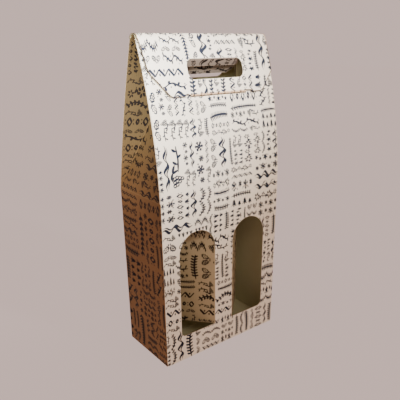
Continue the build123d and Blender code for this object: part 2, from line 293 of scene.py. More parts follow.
def wing_frame(z, front):
    """At a height: the fold's centre, where its arc ends, and how long the straight part is."""
    within_roll = np.sqrt(np.maximum(ROLL_INSIDE**2 - (z - RIDGE[1]) ** 2, 0))
    if front:
        skin = FRONT_CENTRE[0] - np.sqrt(FRONT_BOW**2 - (z - FRONT_CENTRE[1]) ** 2)
        skin = np.where(z > MOUTH, RIDGE_Y - within_roll, skin)
    else:
        skin = -(REAR_CENTRE[0] + np.sqrt(REAR_BOW**2 - (z - REAR_CENTRE[1]) ** 2))
        skin = np.where(z > MOUTH, -RIDGE_Y - within_roll, skin)
    x, y = crease_line(z, front)
    q = y if front else -y
    cp, cq = HALF_WIDTH - FOLD, skin + FOLD
    dp, dq = x - cp, q - cq
    dist = np.hypot(dp, dq)
    end = np.arctan2(dq, dp) - np.arccos(np.minimum(FOLD / dist, 1))
    return cp, cq, end, np.sqrt(np.maximum(dist**2 - FOLD**2, 0))


def wing_reach(z, front):
    """From the panel's fold to the wing's inner end at a height, along the sheet."""
    _, _, end, straight = wing_frame(np.asarray(z, float), front)
    return float(FOLD * end + straight)


def wing_sign(side, front):
    """1 where u runs away from the wing's fold as seen from outside, and -1 where it runs to it."""
    return 1 if (side > 0) == front else -1


def wing_surface(side, front):
    """A gusset wing. Its u is the distance from the panel's fold, with the sign of wing_sign."""
    y_sign = 1 if front else -1

    def surface(u, v):
        s = np.abs(u)
        cp, cq, end, _ = wing_frame(v, front)
        t = np.minimum(s / FOLD, end)
        over = np.maximum(s - FOLD * end, 0)
        p2 = cp + FOLD * np.cos(t) - over * np.sin(end)
        q2 = cq + FOLD * np.sin(t) + over * np.cos(end)
        p = np.stack([side * p2, y_sign * q2, v], 1)
        return p, np.stack([side * np.cos(t), y_sign * np.sin(t), np.zeros_like(t)], 1)

    return surface


def triangle_surface(side):
    def surface(u, v):
        x = side * (HALF_WIDTH - v * math.sin(GUSSET_LEAN))
        p = np.stack([x, side * u, SHOULDER + v * math.cos(GUSSET_LEAN)], 1)
        n = np.array([side * math.cos(GUSSET_LEAN), 0, math.sin(GUSSET_LEAN)])
        n = np.repeat(n[None], len(u), 0)
        return p - n * crease_dent(v, 0)[:, None], n

    return surface


def tongue_surface(u, v):
    """The curled tongue below its crease, and the arc round the crease above it."""
    over = v > 0
    n = spokes(np.radians(TONGUE_START) - np.where(over, v / BOARD, v / TONGUE_CURL))
    fold, curl = n * BOARD + (0, *TUCK_CREASE), n * (TONGUE_CURL + BOARD) + (0, *TONGUE_CENTRE)
    p = np.where(over[:, None], fold, curl)
    p[:, 0] += u
    return p, n


def swung(surface, pivot, axis, degrees):
    """A surface turned about a crease."""
    k = np.array(axis, float)
    a = math.radians(degrees)
    o = np.array(pivot, float)

    def turn(x):
        return x * math.cos(a) + np.cross(k, x) * math.sin(a) + np.outer(x @ k, k) * (1 - math.cos(a))

    def turned(u, v):
        p, n = surface(u, v)
        return o + turn(p - o), turn(n)

    return turned


def grip_surface(radius, top_z):
    """A hand-hole tab, bent in about its crease, and the arc round the crease above it."""
    inner = radius - BOARD
    top_angle = front_angle(top_z, inner)
    pivot = polar(FRONT_CENTRE, inner, top_angle)

    def flat_layer(u, v):
        n = spokes(np.radians(top_angle - np.degrees(v / radius)))
        p = n * radius + (0, *FRONT_CENTRE)
        p[:, 0] += u
        return p, n

    turned = swung(flat_layer, (0, *pivot), (1, 0, 0), GRIP_ANGLE)

    def surface(u, v):
        p, n = turned(u, np.minimum(v, 0))
        arc = spokes(np.radians(top_angle + GRIP_ANGLE) - v / BOARD)
        fold = arc * BOARD + (0, *pivot)
        fold[:, 0] += u
        over = (v > 0)[:, None]
        return np.where(over, fold, p), np.where(over, arc, n)

    return surface


def flap_surface(side):
    """A window flap, folded in about its crease, and the arc round the crease before it."""
    hinge = side * (WINDOW_MIDDLE - WINDOW_WIDTH / 2)
    pivot = np.array((hinge, -INNER_DEPTH, 0))

    def surface(u, v):
        s = (u - hinge) * side
        turn = math.radians(FLAP_ANGLES[side]) + np.minimum(s, 0) / BOARD
        n = np.stack([side * np.sin(turn), -np.cos(turn), np.zeros_like(turn)], 1)
        along = np.stack([side * np.cos(turn), np.sin(turn), np.zeros_like(turn)], 1)
        p = pivot + n * BOARD + along * np.maximum(s, 0)[:, None]
        p[:, 2] += v
        return p, n

    return surface, hinge


# ---------------------------------------------------------------- outlines on the flat sheet
ARC_STEP, FILLET_STEP = 0.7, 0.8


def arc_points(cx, cy, r, a0, a1):
    n = max(2, int(abs(math.radians(a1 - a0)) * r / ARC_STEP))
    return [polar((cx, cy), r, a0 + (a1 - a0) * i / n) for i in range(n + 1)]


def rectangle(u0, u1, v0, v1):
    return [(u0, v0), (u1, v0), (u1, v1), (u0, v1)]


def rounded_loop(cx, cy, w, h, r):
    x0, x1, y0, y1 = cx - w / 2, cx + w / 2, cy - h / 2, cy + h / 2
    corners = ((x1 - r, y1 - r), (x0 + r, y1 - r), (x0 + r, y0 + r), (x1 - r, y0 + r))
    return [p for i, (x, y) in enumerate(corners) for p in arc_points(x, y, r, 90 * i, 90 * i + 90)]


def fillet(a, corner, b, radius):
    """Points round a corner between two straight lines."""
    a, corner, b = (np.array(x, float) for x in (a, corner, b))
    ua, ub = (a - corner) / np.linalg.norm(a - corner), (b - corner) / np.linalg.norm(b - corner)
    half = math.acos(float(np.clip(ua @ ub, -1, 1))) / 2
    middle = corner + (ua + ub) / np.linalg.norm(ua + ub) * radius / math.sin(half)
    start, end = (corner + way * radius / math.tan(half) for way in (ua, ub))
    a0, a1 = (math.atan2(*(p - middle)[::-1]) for p in (start, end))
    turn = (a1 - a0 + math.pi) % (2 * math.pi) - math.pi
    n = max(3, int(abs(turn) * radius / FILLET_STEP))
    angles = [a0 + turn * i / n for i in range(n + 1)]
    return [tuple(middle + radius * np.array((math.cos(a), math.sin(a)))) for a in angles]


def window_loop(side, room):
    """A window's outline, or with some room its flap's. The flap's crease is the near side."""
    near, middle = side * (WINDOW_MIDDLE - WINDOW_WIDTH / 2), side * WINDOW_MIDDLE
    far = side * (WINDOW_MIDDLE + WINDOW_WIDTH / 2 - room)
    low, corner = WINDOW_LOW + room, WINDOW_CORNER - room
    start, end = (0, 180) if side > 0 else (180, 0)
    loop = [(near, low), (far - side * corner, low)]
    loop += arc_points(far - side * corner, low + corner, corner, -90, -start)[1:]
    loop += arc_points(middle, WINDOW_SPRING, WINDOW_WIDTH / 2 - room, start, end)
    return loop + [(near, WINDOW_SPRING)] if room else loop


def hole_loop(height, cx, margin):
    """The hand hole on a slope. height turns a z into the sheet's v."""
    w, h = HOLE_WIDTH + 2 * margin, HOLE_HEIGHT + 2 * margin
    flat = rounded_loop(cx, HOLE_TOP - HOLE_HEIGHT / 2, w, h, HOLE_CORNER + margin)
    return [(u, height(z)) for u, z in flat]


def slit_loop():
    """The slit in the front slope: wherever the curled tongue comes through it, and some slip.
    The heights that are tried are 0.01 mm apart."""
    zs = np.linspace(TOP - TUCK_DROP - 12, TOP - TUCK_DROP + 6, 1801)
    hits = []
    for radius in (FRONT_BOW, FRONT_BOW - BOARD):
        y = FRONT_CENTRE[0] - np.sqrt(radius**2 - (zs - FRONT_CENTRE[1]) ** 2)
        dist = np.hypot(y - TONGUE_CENTRE[0], zs - TONGUE_CENTRE[1])
        hits += list(zs[(dist > TONGUE_CURL - SLIP) & (dist < TONGUE_CURL + BOARD + SLIP)])
    half = TUCK_HALF + SLIP
    return rectangle(SHIFT - half, SHIFT + half, front_v(min(hits)), front_v(max(hits)))


def lid_side(side):
    """From the crest down one side of the lid to the tongue's crease, in x and drop."""
    top = (SHIFT + side * (LID_HALF + SHIFT), 0.0)
    bend = (SHIFT + side * TAPER_HALF, TAPER_DROP)
    ear = (SHIFT + side * EAR_HALF, EAR_DROP)
    relief = (SHIFT + side * RELIEF_HALF, EAR_DROP)
    points = [top]
    points += [tuple(np.array(top) + (np.array(bend) - top) * i / 12) for i in range(1, 12)]
    points += fillet(top, bend, ear, TAPER_RADIUS) + fillet(bend, ear, relief, EAR_RADIUS)
    points += [relief, (relief[0], LID_END)]
    return [(max(-LID_HALF, min(LID_HALF, x)), d) for x, d in points]


def grip_loop(margin, low, high, foot):
    """A hand-hole tab, with the arc round its crease. foot is the radius of its lower corners."""
    width = HOLE_WIDTH + 2 * (margin - SLIP)
    corner = HOLE_CORNER + margin - SLIP
    crease = HOLE_WIDTH / 2 - HOLE_CORNER
    fold = BOARD * math.radians(GRIP_ANGLE)
    x0, x1 = SHIFT - width / 2, SHIFT + width / 2
    loop = arc_points(x1 - corner, high - corner, corner, 0, 90)
    loop += [(SHIFT + crease, high), (SHIFT + crease, fold), (SHIFT - crease, fold), (SHIFT - crease, high)]
    loop += arc_points(x0 + corner, high - corner, corner, 90, 180)
    loop += arc_points(x0 + foot, low + foot, foot, 180, 270)
    return loop + arc_points(x1 - foot, low + foot, foot, 270, 360)


# ---------------------------------------------------------------- meshing a flat outline
CROSSING_ROOM = 0.15  # no nearer to a loop's point than this does a grid line cut the loop
POINT_ROOM = 0.12
LINE_ROOM = 0.35
GRID = 6.0
WEAR_WIDTH = 0.5  # from an edge to the first points that aren't worn
LAYERS = (LINER, BOARD - LINER)  # depths at which the flutes start and end


def area(loop):
    p = np.array(loop)
    q = np.roll(p, -1, 0)
    return 0.5 * float(np.sum(p[:, 0] * q[:, 1] - q[:, 0] * p[:, 1]))


def inside(points, loops):
    """Even-odd test of flat points against loops."""
    x, y = points[:, 0], points[:, 1]
    odd = np.zeros(len(points), bool)
    for loop in loops:
        p = np.array(loop)
        for (x0, y0), (x1, y1) in zip(p, np.roll(p, -1, 0)):
            if y0 == y1:
                continue
            hit = (y0 > y) != (y1 > y)
            odd ^= hit & (x < (x1 - x0) * (y - y0) / (y1 - y0) + x0)
    return odd


def edge_distance(points, loops):
    best = np.full(len(points), 1e9)
    for loop in loops:
        p = np.array(loop)
        for a, b in zip(p, np.roll(p, -1, 0)):
            ab = b - a
            t = np.clip(((points - a) @ ab) / max(ab @ ab, 1e-12), 0, 1)
            d = points - (a + t[:, None] * ab)
            best = np.minimum(best, np.hypot(d[:, 0], d[:, 1]))
    return best


def cut_at(loop, us, vs, longest):
    """The loop with points where it crosses the grid lines, and none far apart."""
    out = []
    p = [np.array(x, float) for x in loop]
    for a, b in zip(p, p[1:] + p[:1]):
        length = float(np.hypot(*(b - a)))
        if length < 1e-6:
            continue
        ts = {0.0}
        for axis, lines in ((0, us), (1, vs)):
            span = b[axis] - a[axis]
            if abs(span) > 1e-9:
                for line in lines:
                    t = (line - a[axis]) / span
                    if CROSSING_ROOM / length < t < 1 - CROSSING_ROOM / length:
                        ts.add(t)
        ts = sorted(ts) + [1.0]
        last = -1.0
        for t0, t1 in zip(ts, ts[1:]):
            n = max(1, int(math.ceil((t1 - t0) * length / longest)))
            for t in (t0 + (t1 - t0) * i / n for i in range(n)):
                if (t - last) * length > POINT_ROOM:
                    out.append(tuple(a + (b - a) * t))
                    last = t
    return out


def lines_between(lo, hi, step, extra=()):
    """Even grid lines, and extra ones in place of any too near to them."""
    n = max(1, int(round((hi - lo) / step)))
    extra = [e for e in extra if lo <= e <= hi]
    even = (lo + (hi - lo) * i / n for i in range(n + 1))
    return sorted([line for line in even if all(abs(line - e) > LINE_ROOM for e in extra)] + extra)


def fold_lines(half, end, steps):
    """Grid lines round the folds at both sides of a panel."""
    start = half - FOLD
    inner = [start + (end - start) * i / steps for i in range(steps + 1)]
    return [-x for x in inner] + inner


def inset_points(loop, wear_width):
    """Points just inside a loop that runs with its board on the left."""
    p = np.array(loop)
    back, on = p - np.roll(p, 1, 0), np.roll(p, -1, 0) - p
    normal = np.stack([-(back + on)[:, 1], (back + on)[:, 0]], 1)
    return p + normal / np.maximum(np.linalg.norm(normal, axis=1), 1e-9)[:, None] * wear_width


def flat_mesh(loops, us, vs, longest, wear_width):
    """Triangles over the flat outline, with grid points inside. Returns points, faces and
    the boundary as directed edges."""
    loops = [cut_at(loop, us, vs, longest) for loop in loops]
    ring = [loop if (area(loop) > 0) == (i == 0) else loop[::-1] for i, loop in enumerate(loops)]
    verts = [p for loop in ring for p in loop]
    edges, start = [], 0
    for loop in ring:
        n = len(loop)
        edges += [(start + i, start + (i + 1) % n) for i in range(n)]
        start += n
    inset = np.concatenate([inset_points(loop, wear_width) for loop in ring])
    grid = np.array([(u, v) for u in us for v in vs])
    for extra, room in ((inset, 0.8), (grid, 1.5)):  # kept off the edges by these shares of the wear
        extra = extra[inside(extra, ring) & (edge_distance(extra, ring) > wear_width * room)]
        verts += [tuple(p) for p in extra]
    made = delaunay_2d_cdt([Vector(p) for p in verts], edges, [], 0, 1e-5)
    points = np.array([tuple(p) for p in made[0]])
    faces = np.array(made[2])
    faces = faces[inside(points[faces].mean(1), ring)]
    seen = dict.fromkeys((f[i], f[(i + 1) % 3]) for f in faces for i in range(3))
    return points, faces, [e for e in seen if (e[1], e[0]) not in seen]


def new_object(name, verts, faces, indices, materials, uvs=None, smooth=30, attributes=()):
    mesh = bpy.data.meshes.new(name)
    mesh.from_pydata([tuple(v) for v in verts], [], [tuple(int(i) for i in f) for f in faces])
    mesh.polygons.foreach_set("material_index", np.array(indices, np.int32))
    if uvs is not None:
        layer = mesh.uv_layers.new(name="sheet")
        loops = np.zeros(len(mesh.loops), np.int32)
        mesh.loops.foreach_get("vertex_index", loops)
        layer.data.foreach_set("uv", np.asarray(uvs, np.float32)[loops].ravel())
    for key, values in dict(attributes).items():
        values = np.asarray(values, np.float32)
        mesh.attributes.new(key, "FLOAT", "POINT").data.foreach_set("value", values)
    mesh.shade_smooth()
    mesh.set_sharp_from_angle(angle=math.radians(smooth))
    obj = bpy.data.objects.new(name, mesh)
    bpy.context.scene.collection.objects.link(obj)
    for m in materials:
        obj.data.materials.append(m)
    return obj


printed_faces = {}  # by node: its surface, and the outlines that its print is cut to


def board_panel(
    node, body, loops, surface, us, vs, face, start=0, longest=6.0, printed=None,
    worn=None, cut=None, rubbed_and_shadowed=1.0, wear_width=WEAR_WIDTH,
):
    """A board panel: printed liner, fluted core at the cut edges, and plain liner.

    start is how far up the sheet the panel's v starts. worn gives the wear of the face, and rubbed that of
    its edges, which on the lid also holds a painted shadow of the gap under its edges."""
    printed_faces[node] = surface, printed or loops
    points, faces, rim = flat_mesh(loops, us, vs, longest, wear_width)
    p, n = surface(points[:, 0], points[:, 1])
    count = len(points)
    rings = sorted({i for e in rim for i in e})
    size = len(rings)
    verts = [p, p - n * BOARD] + [p[rings] - n[rings] * depth for depth in LAYERS]
    verts = np.concatenate(verts) * MM
    sheet = np.concatenate([points, points, points[rings], points[rings]]) + (0, start)
    polys = [tuple(f) for f in faces] + [tuple(f[::-1] + count) for f in faces]
    index = [0] * len(faces) + [1] * len(faces)
    where = {v: 2 * count + i for i, v in enumerate(rings)}
    for a, b in rim:
        upper = a, b
        for layer, lower in zip(
            (2, 3, 1), ((where[a], where[b]), (where[a] + size, where[b] + size), (a + count, b + count)),
        ):
            polys.append((upper[1], upper[0], lower[0], lower[1]))
            index.append(layer)
            upper = lower
    wear_and_shadow = np.zeros(len(verts))
    wear_and_shadow[rings] = rubbed_and_shadowed(points[rings, 0], points[rings, 1]) if callable(rubbed_and_shadowed) else rubbed_and_shadowed
    if worn is not None:
        wear_and_shadow[:count] = np.maximum(wear_and_shadow[:count], worn(points[:, 0], points[:, 1]))
    edge_depths = [np.full(size, depth / BOARD) for depth in LAYERS]
    depth = np.concatenate([np.zeros(count), np.ones(count), *edge_depths])
    obj = new_object(
        f"{node}_board", verts, polys, index, [face, KRAFT, *(cut or (PAPER_EDGE, FLUTES))], sheet * MM,
        attributes={"wear_and_shadow": wear_and_shadow, "depth": depth},
    )
    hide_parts(node)
    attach(obj, body)


# ---------------------------------------------------------------- materials
# Scales of the noise in the materials
CLOUDS, FLUTE_WOBBLE, RUBS, INK_FLOW, THREADS = 14.0, 60.0, 260.0, 340.0, 420.0
GRAIN, FLUTE_PULP, INK_GRAIN, LINER_PULP = 900.0, 1100.0, 1200.0, 1400.0
FLUTE_PITCH = 0.0024  # metres from one flute to the next
FLUTE_WAVE = 2 * math.pi / FLUTE_PITCH
PAINTED_LIGHT_FROM, PAINTED_LIGHT_TO = 0.17, 0.30  # metres up, over which the brown turns from the redder foot colour to the upper one: painted light, for how the light falls on the upper sides and gussets
SOIL_AND_SHADOW = (0.045, 0.026, 0.011)  # a cut edge darkened by handling, and on the lid's edges a painted shadow of the gap under the lid; wear above 1 shows it


def put(made, key, value):
    """Gives a node's input a value, or joins another node's output to it."""
    if isinstance(value, bpy.types.NodeSocket):
        made.id_data.links.new(value, made.inputs[key])
    else:
        made.inputs[key].default_value = value


def node_maker(tree):
    """A short way to add a node to a tree, with its settings and its inputs."""

    def node(kind, inputs=(), **settings):
        made = tree.nodes.new(kind)
        for key, value in settings.items():
            setattr(made, key, value)
        for key, value in dict(inputs).items():
            put(made, key, value)
        return made

    return node


def material(name):
    """A new material with only its shader and output, its shader, and its way to add nodes."""
    mat = bpy.data.materials.new(name)
    mat.use_nodes = True
    return mat, mat.node_tree.nodes["Principled BSDF"], node_maker(mat.node_tree)


def mix(node, factor, a, b):
    made = node("ShaderNodeMix", {0: factor}, data_type="RGBA")
    for index, colour in ((6, a), (7, b)):
        put(made, index, (*colour, 1) if isinstance(colour, tuple) else colour)
    return made.outputs[2]


def sums(node, how, a, b=0.0, c=0.0, clamp=False):
    return node("ShaderNodeMath", {0: a, 1: b, 2: c}, operation=how, use_clamp=clamp).outputs[0]


def ranged(node, value, low, high, to_low=0.0, to_high=1.0, **settings):
    inputs = {0: value, 1: low, 2: high, 3: to_low, 4: to_high}
    return node("ShaderNodeMapRange", inputs, **settings).outputs[0]


def noise(node, where, scale, detail=3.0, roughness=0.55):
    inputs = {"Vector": where, "Scale": scale, "Detail": detail, "Roughness": roughness}
    return node("ShaderNodeTexNoise", inputs).outputs[0]


def bump(node, shader, height, strength, distance):
    inputs = {"Height": height, "Strength": strength, "Distance": distance}
    put(shader, "Normal", node("ShaderNodeBump", inputs).outputs[0])


def object_place(node):
    return node("ShaderNodeTexCoord").outputs["Object"]


def sheet_place(node):
    return node("ShaderNodeUVMap", uv_map="sheet").outputs[0]


def board_face(name, colour, shade, raw, roughness, specular, flutes, fibre, blot, plain=False, foot=None):
    """A liner: its colour with soft blotches and fibres, worn to the raw board at its edges, and darker
    past that: soil, and on the lid's edges painted shadow.

    foot is a second colour and shade for the lower part of the box, redder: its change to the upper colour
    is painted light, for how the light falls on the lower and upper sides.
    A plain one reads no sheet and no wear, for the pieces taken from the CAD as they are."""
    mat, shader, node = material(name)
    place = object_place(node)
    sheet = place if plain else sheet_place(node)
    if foot:
        up = node("ShaderNodeSeparateXYZ", {0: place}).outputs[2]
        painted_light_up = ranged(node, up, PAINTED_LIGHT_FROM, PAINTED_LIGHT_TO, interpolation_type="SMOOTHSTEP")
        colour, shade = (mix(node, painted_light_up, *pair) for pair in zip(foot, (colour, shade)))
    cloud = ranged(node, noise(node, place, CLOUDS), 0.3, 0.7)
    look = mix(node, sums(node, "MULTIPLY", cloud, blot), colour, shade)
    along = node("ShaderNodeMapping", {"Vector": sheet, "Scale": (1.0, 0.16, 1.0)}).outputs[0]
    threads = noise(node, along, THREADS, 4.0, 0.7)
    flecks = ranged(node, threads, 0.62, 0.74)
    look = mix(node, sums(node, "MULTIPLY", flecks, fibre), look, shade)
    # The flutes show faintly through the liner, running up the sheet
    across = node("ShaderNodeSeparateXYZ", {0: sheet}).outputs[0]
    wobble = sums(node, "MULTIPLY", noise(node, sheet, FLUTE_WOBBLE, 2.0), 0.8)
    ribs = sums(node, "SINE", sums(node, "MULTIPLY_ADD", across, FLUTE_WAVE, wobble))
    look = mix(node, ranged(node, ribs, -1.0, -0.2, flutes * 0.35, 0.0), look, shade)
    wear_and_shadow = 0.0 if plain else node("ShaderNodeAttribute", attribute_name="wear_and_shadow").outputs["Fac"]
    rubs = noise(node, place, RUBS, 4.0, 0.65)
    broken = sums(node, "SUBTRACT", sums(node, "MULTIPLY", wear_and_shadow, 1.45), rubs, clamp=True)
    rubbed_and_shadowed = ranged(node, broken, 0.05, 0.5)
    soil_and_shadow_mask = sums(node, "SUBTRACT", wear_and_shadow, sums(node, "MULTIPLY", rubs, 0.6))
    look = mix(node, rubbed_and_shadowed, look, raw)
    put(shader, "Base Color", mix(node, ranged(node, soil_and_shadow_mask, 0.9, 1.5), look, SOIL_AND_SHADOW))
    fine = noise(node, place, GRAIN, 3.0, 0.6)
    dull = sums(node, "ADD", fine, sums(node, "MULTIPLY", rubbed_and_shadowed, 0.6))
    put(shader, "Roughness", ranged(node, dull, 0.3, 1.2, roughness - 0.06, roughness + 0.16))
    put(shader, "Specular IOR Level", specular)
    height = sums(node, "MULTIPLY_ADD", ribs, 0.5 * flutes, sums(node, "MULTIPLY", fine, 0.35))
    bump(node, shader, sums(node, "MULTIPLY_ADD", threads, 0.5, height), 0.55, 0.00012)
    return mat


def cut_paper(name, colour, shade):
    """The cut edge of a liner: soft, fibrous and a little uneven."""
    mat, shader, node = material(name)
    pulp = ranged(node, noise(node, object_place(node), LINER_PULP, 4.0, 0.7), 0.3, 0.7)
    put(shader, "Base Color", mix(node, pulp, colour, shade))
    put(shader, "Roughness", 0.9)
    bump(node, shader, pulp, 0.5, 0.0001)
    return mat


def cut_flutes(name, paper, hollow_shade):
    """Between the liners: a wave of paper with painted shade in the hollows above and below it."""
    mat, shader, node = material(name)
    across = node("ShaderNodeSeparateXYZ", {0: sheet_place(node)}).outputs[0]
    depth = node("ShaderNodeAttribute", attribute_name="depth").outputs["Fac"]
    wave = sums(node, "SINE", sums(node, "MULTIPLY", across, FLUTE_WAVE))
    line = sums(node, "MULTIPLY_ADD", wave, 0.26, 0.5)
    away = sums(node, "ABSOLUTE", sums(node, "SUBTRACT", depth, line))
    pulp = noise(node, object_place(node), FLUTE_PULP, 4.0, 0.7)
    on_wave = sums(node, "ADD", ranged(node, away, 0.12, 0.2, 1.0, 0.0), sums(node, "MULTIPLY", pulp, 0.5))
    patchy = ranged(node, on_wave, 0.35, 0.9)
    put(shader, "Base Color", mix(node, patchy, hollow_shade, paper))
    put(shader, "Roughness", 0.92)
    bump(node, shader, patchy, 0.7, 0.0004)
    return mat


def printed_ink(name, colour, thin):
    """Ink, a little uneven where the pen pressed less, and slightly glossy."""
    mat, shader, node = material(name)
    place = object_place(node)
    uneven = ranged(node, noise(node, place, INK_FLOW, 4.0, 0.65), 0.5, 0.85)
    put(shader, "Base Color", mix(node, uneven, colour, thin))
    put(shader, "Roughness", ranged(node, noise(node, place, INK_GRAIN, 2.0), 0.3, 0.7, 0.55, 0.7))
    put(shader, "Specular IOR Level", 0.18)
    return mat


PRINT = board_face(
    "coated_white_board", (0.85, 0.745, 0.57), (0.75, 0.635, 0.47), raw=(0.62, 0.41, 0.235),
    roughness=0.44, specular=0.35, flutes=0.5, fibre=0.22, blot=0.35,
)
# The sides and gussets are the same cream printed board as the front: their brown is painted shade, for the
# deep warm shade on the sides.
SIDE_SHADE_BROWN = board_face(
    "brown_board_face", (0.124, 0.079, 0.0325), (0.087, 0.053, 0.0215), raw=(0.24, 0.14, 0.06),
    roughness=0.62, specular=0.15, flutes=0.6, fibre=0.5, blot=0.5,
    foot=((0.195, 0.094, 0.032), (0.14, 0.064, 0.021)),
)
# The window flaps are the front's cream printed board turned inward: their tan is painted shade, for the
# shade inside the windows.
FLAP_SHADE_TAN = board_face(
    "flap_board_painted_shade", (0.41, 0.31, 0.17), (0.32, 0.235, 0.12), raw=(0.42, 0.30, 0.16),
    roughness=0.6, specular=0.3, flutes=0.6, fibre=0.5, blot=0.5,
)
# The hand-hole tabs are cream printed board too: their grey-brown is painted shade, for their faces turned
# down away from the light.
SHADED = board_face(
    "grey_brown_board_face", (0.30, 0.235, 0.18), (0.22, 0.17, 0.12), raw=(0.60, 0.46, 0.32),
    roughness=0.5, specular=0.3, flutes=0.4, fibre=0.3, blot=0.4,
)
KRAFT = board_face(
    "plain_kraft_liner", (0.55, 0.50, 0.29), (0.42, 0.37, 0.205), raw=(0.42, 0.33, 0.18),
    roughness=0.72, specular=0.25, flutes=1.0, fibre=0.8, blot=0.6,
)
BASE = board_face(
    "plain_kraft_base", (0.56, 0.50, 0.30), (0.44, 0.38, 0.225), raw=(0.5, 0.4, 0.2),
    roughness=0.75, specular=0.25, flutes=0.6, fibre=0.6, blot=0.6, plain=True,
)
# The cut edges are darker than raw kraft: part the brown of the cut board, part painted shade along the cut
# edges.
PAPER_EDGE = cut_paper("cut_liner_edge", (0.17, 0.11, 0.055), (0.11, 0.07, 0.035))
FLUTES = cut_flutes("cut_flute_edge", (0.20, 0.13, 0.06), (0.03, 0.018, 0.01))
# The lid's cut edges are much darker than the other cut edges: the brown of the cut board with a painted
# shadow of the gap under the lid's edge.
LID_EDGE_IN_SHADOW = (
    cut_paper("lid_liner_edge_painted_shadow", (0.05, 0.03, 0.014), (0.03, 0.018, 0.009)),
    cut_flutes("lid_flute_edge_painted_shadow", (0.085, 0.052, 0.024), (0.02, 0.012, 0.006)),
)
BLUE_INK = printed_ink("blue_black_ink", (0.010, 0.013, 0.023), (0.030, 0.038, 0.062))
# The print on the shaded sides, flaps and tabs is the same ink, drawn darker and browner as painted shade.
INK_IN_PAINTED_SHADE = printed_ink("ink_painted_shade", (0.010, 0.006, 0.004), (0.028, 0.016, 0.009))

# ---------------------------------------------------------------- panels
ABOVE_CREASE = [0.7, 1.4, 2.2, 3.2]  # grid lines close to a crease, where the board dents
WALLS = {
    "front_panel": ((1, 0, 0), (0, -1, 0), HALF_WIDTH, WALL_END, HALF_DEPTH),
    "rear_panel": ((-1, 0, 0), (0, 1, 0), HALF_WIDTH, WALL_END, HALF_DEPTH),
    "left_side_panel": ((0, -1, 0), (-1, 0, 0), HALF_DEPTH, SIDE_END, HALF_WIDTH),
    "right_side_panel": ((0, 1, 0), (1, 0, 0), HALF_DEPTH, SIDE_END, HALF_WIDTH),
}
for node, (across, outward, half, end, level) in WALLS.items():
    loops = [rectangle(-end, end, 0, SHOULDER)]
    if node == "front_panel":
        loops += [window_loop(-1, 0), window_loop(1, 0)]
    slot, face, rubbed_and_shadowed = ("brown_board", SIDE_SHADE_BROWN, 1.0) if "side" in node else ("printed_board", PRINT, 0.35)
    board_panel(
        node, "carton", loops, wall_surface(across, outward, half, level),
        lines_between(-end, end, GRID, fold_lines(half, end, 3)),
        lines_between(0, SHOULDER, GRID, [SHOULDER - d for d in ABOVE_CREASE]), face, rubbed_and_shadowed=rubbed_and_shadowed,
    )

# Slopes
slope_lines = lines_between(-BOW_END, BOW_END, GRID, fold_lines(HALF_WIDTH, BOW_END, 6))
board_panel(
    "front_shoulder_panel", "carton",
    [rectangle(-BOW_END, BOW_END, 0, FRONT_HIGH), hole_loop(front_v, SHIFT, HOLE_MARGIN), slit_loop()],
    slope_surface((1, 0, 0), FRONT_CENTRE, FRONT_BOW, FRONT_FOOT, -1),
    slope_lines, lines_between(0, FRONT_HIGH, GRID, ABOVE_CREASE), PRINT, SHOULDER,
)
edge = [(BOW_END, 0), (BOW_END, REAR_LOW), (HALF_WIDTH, REAR_LOW + MOUTH_STEP), (HALF_WIDTH, REAR_HIGH)]
outline = [(-BOW_END, 0)] + edge + [(-u, v) for u, v in edge[:0:-1]]
roll_lines = [REAR_ROLL_V + (REAR_HIGH - REAR_ROLL_V) * i / 10 for i in range(11)]
board_panel(
    "rear_shoulder_panel", "carton",
    [outline, hole_loop(rear_v, -SHIFT, HOLE_MARGIN)],
    slope_surface((-1, 0, 0), REAR_CENTRE, REAR_BOW, REAR_FOOT, 1, roll=REAR_ROLL),
    slope_lines, lines_between(0, REAR_HIGH, GRID, ABOVE_CREASE + [REAR_LOW] + roll_lines), PRINT, SHOULDER,
)

# Gussets
WING_LOW, WING_STEPS = SHOULDER + 2.2, 36
WING_HEIGHTS = [WING_LOW + (GUSSET_TOP - WING_LOW) * i / WING_STEPS for i in range(WING_STEPS)]
WING_HEIGHTS += [GUSSET_TOP + (MOUTH - GUSSET_TOP) * i / 8 for i in range(9)]
WING_HEIGHTS += [MOUTH + d for d in (0.8, 1.6, 2.3, 2.8)]
WING_FOLD_LINES = [0, 0.4, 0.8, 1.2, 1.6, 2.0, 2.6, 3.4, 4.6]
for side, name in SIDES:
    board_panel(
        f"{name}_gusset_triangle", "carton",
        [[(-INNER_DEPTH, 0), (INNER_DEPTH, 0), (POINT_Y * side, GUSSET_LENGTH)]], triangle_surface(side),
        lines_between(-INNER_DEPTH, INNER_DEPTH, GRID), lines_between(0, GUSSET_LENGTH, GRID, ABOVE_CREASE),
        SIDE_SHADE_BROWN, SHOULDER,
    )
    for place, front in (("front", True), ("rear", False)):
        sign = wing_sign(side, front)
        reach = [wing_reach(z, front) for z in WING_HEIGHTS]
        low, high = WING_HEIGHTS[0], WING_HEIGHTS[-1]
        loop = [(0, low)] + [(sign * r, z) for r, z in zip(reach, WING_HEIGHTS)] + [(0, high)]
        us = sorted(sign * x for x in WING_FOLD_LINES + lines_between(8, max(reach), GRID))
        board_panel(
            f"{name}_gusset_{place}", "carton", [loop], wing_surface(side, front), us,
            lines_between(low, high, GRID, [GUSSET_TOP]), SIDE_SHADE_BROWN,
        )

# Lid and tongue. Fine grid lines follow the worn crease between them
TONGUE_LINES = lines_between(SHIFT - TUCK_HALF, SHIFT + TUCK_HALF, 1.5)
LID_WORN, TONGUE_WORN = 2.4, 1.2  # how far from the crease the face is worn
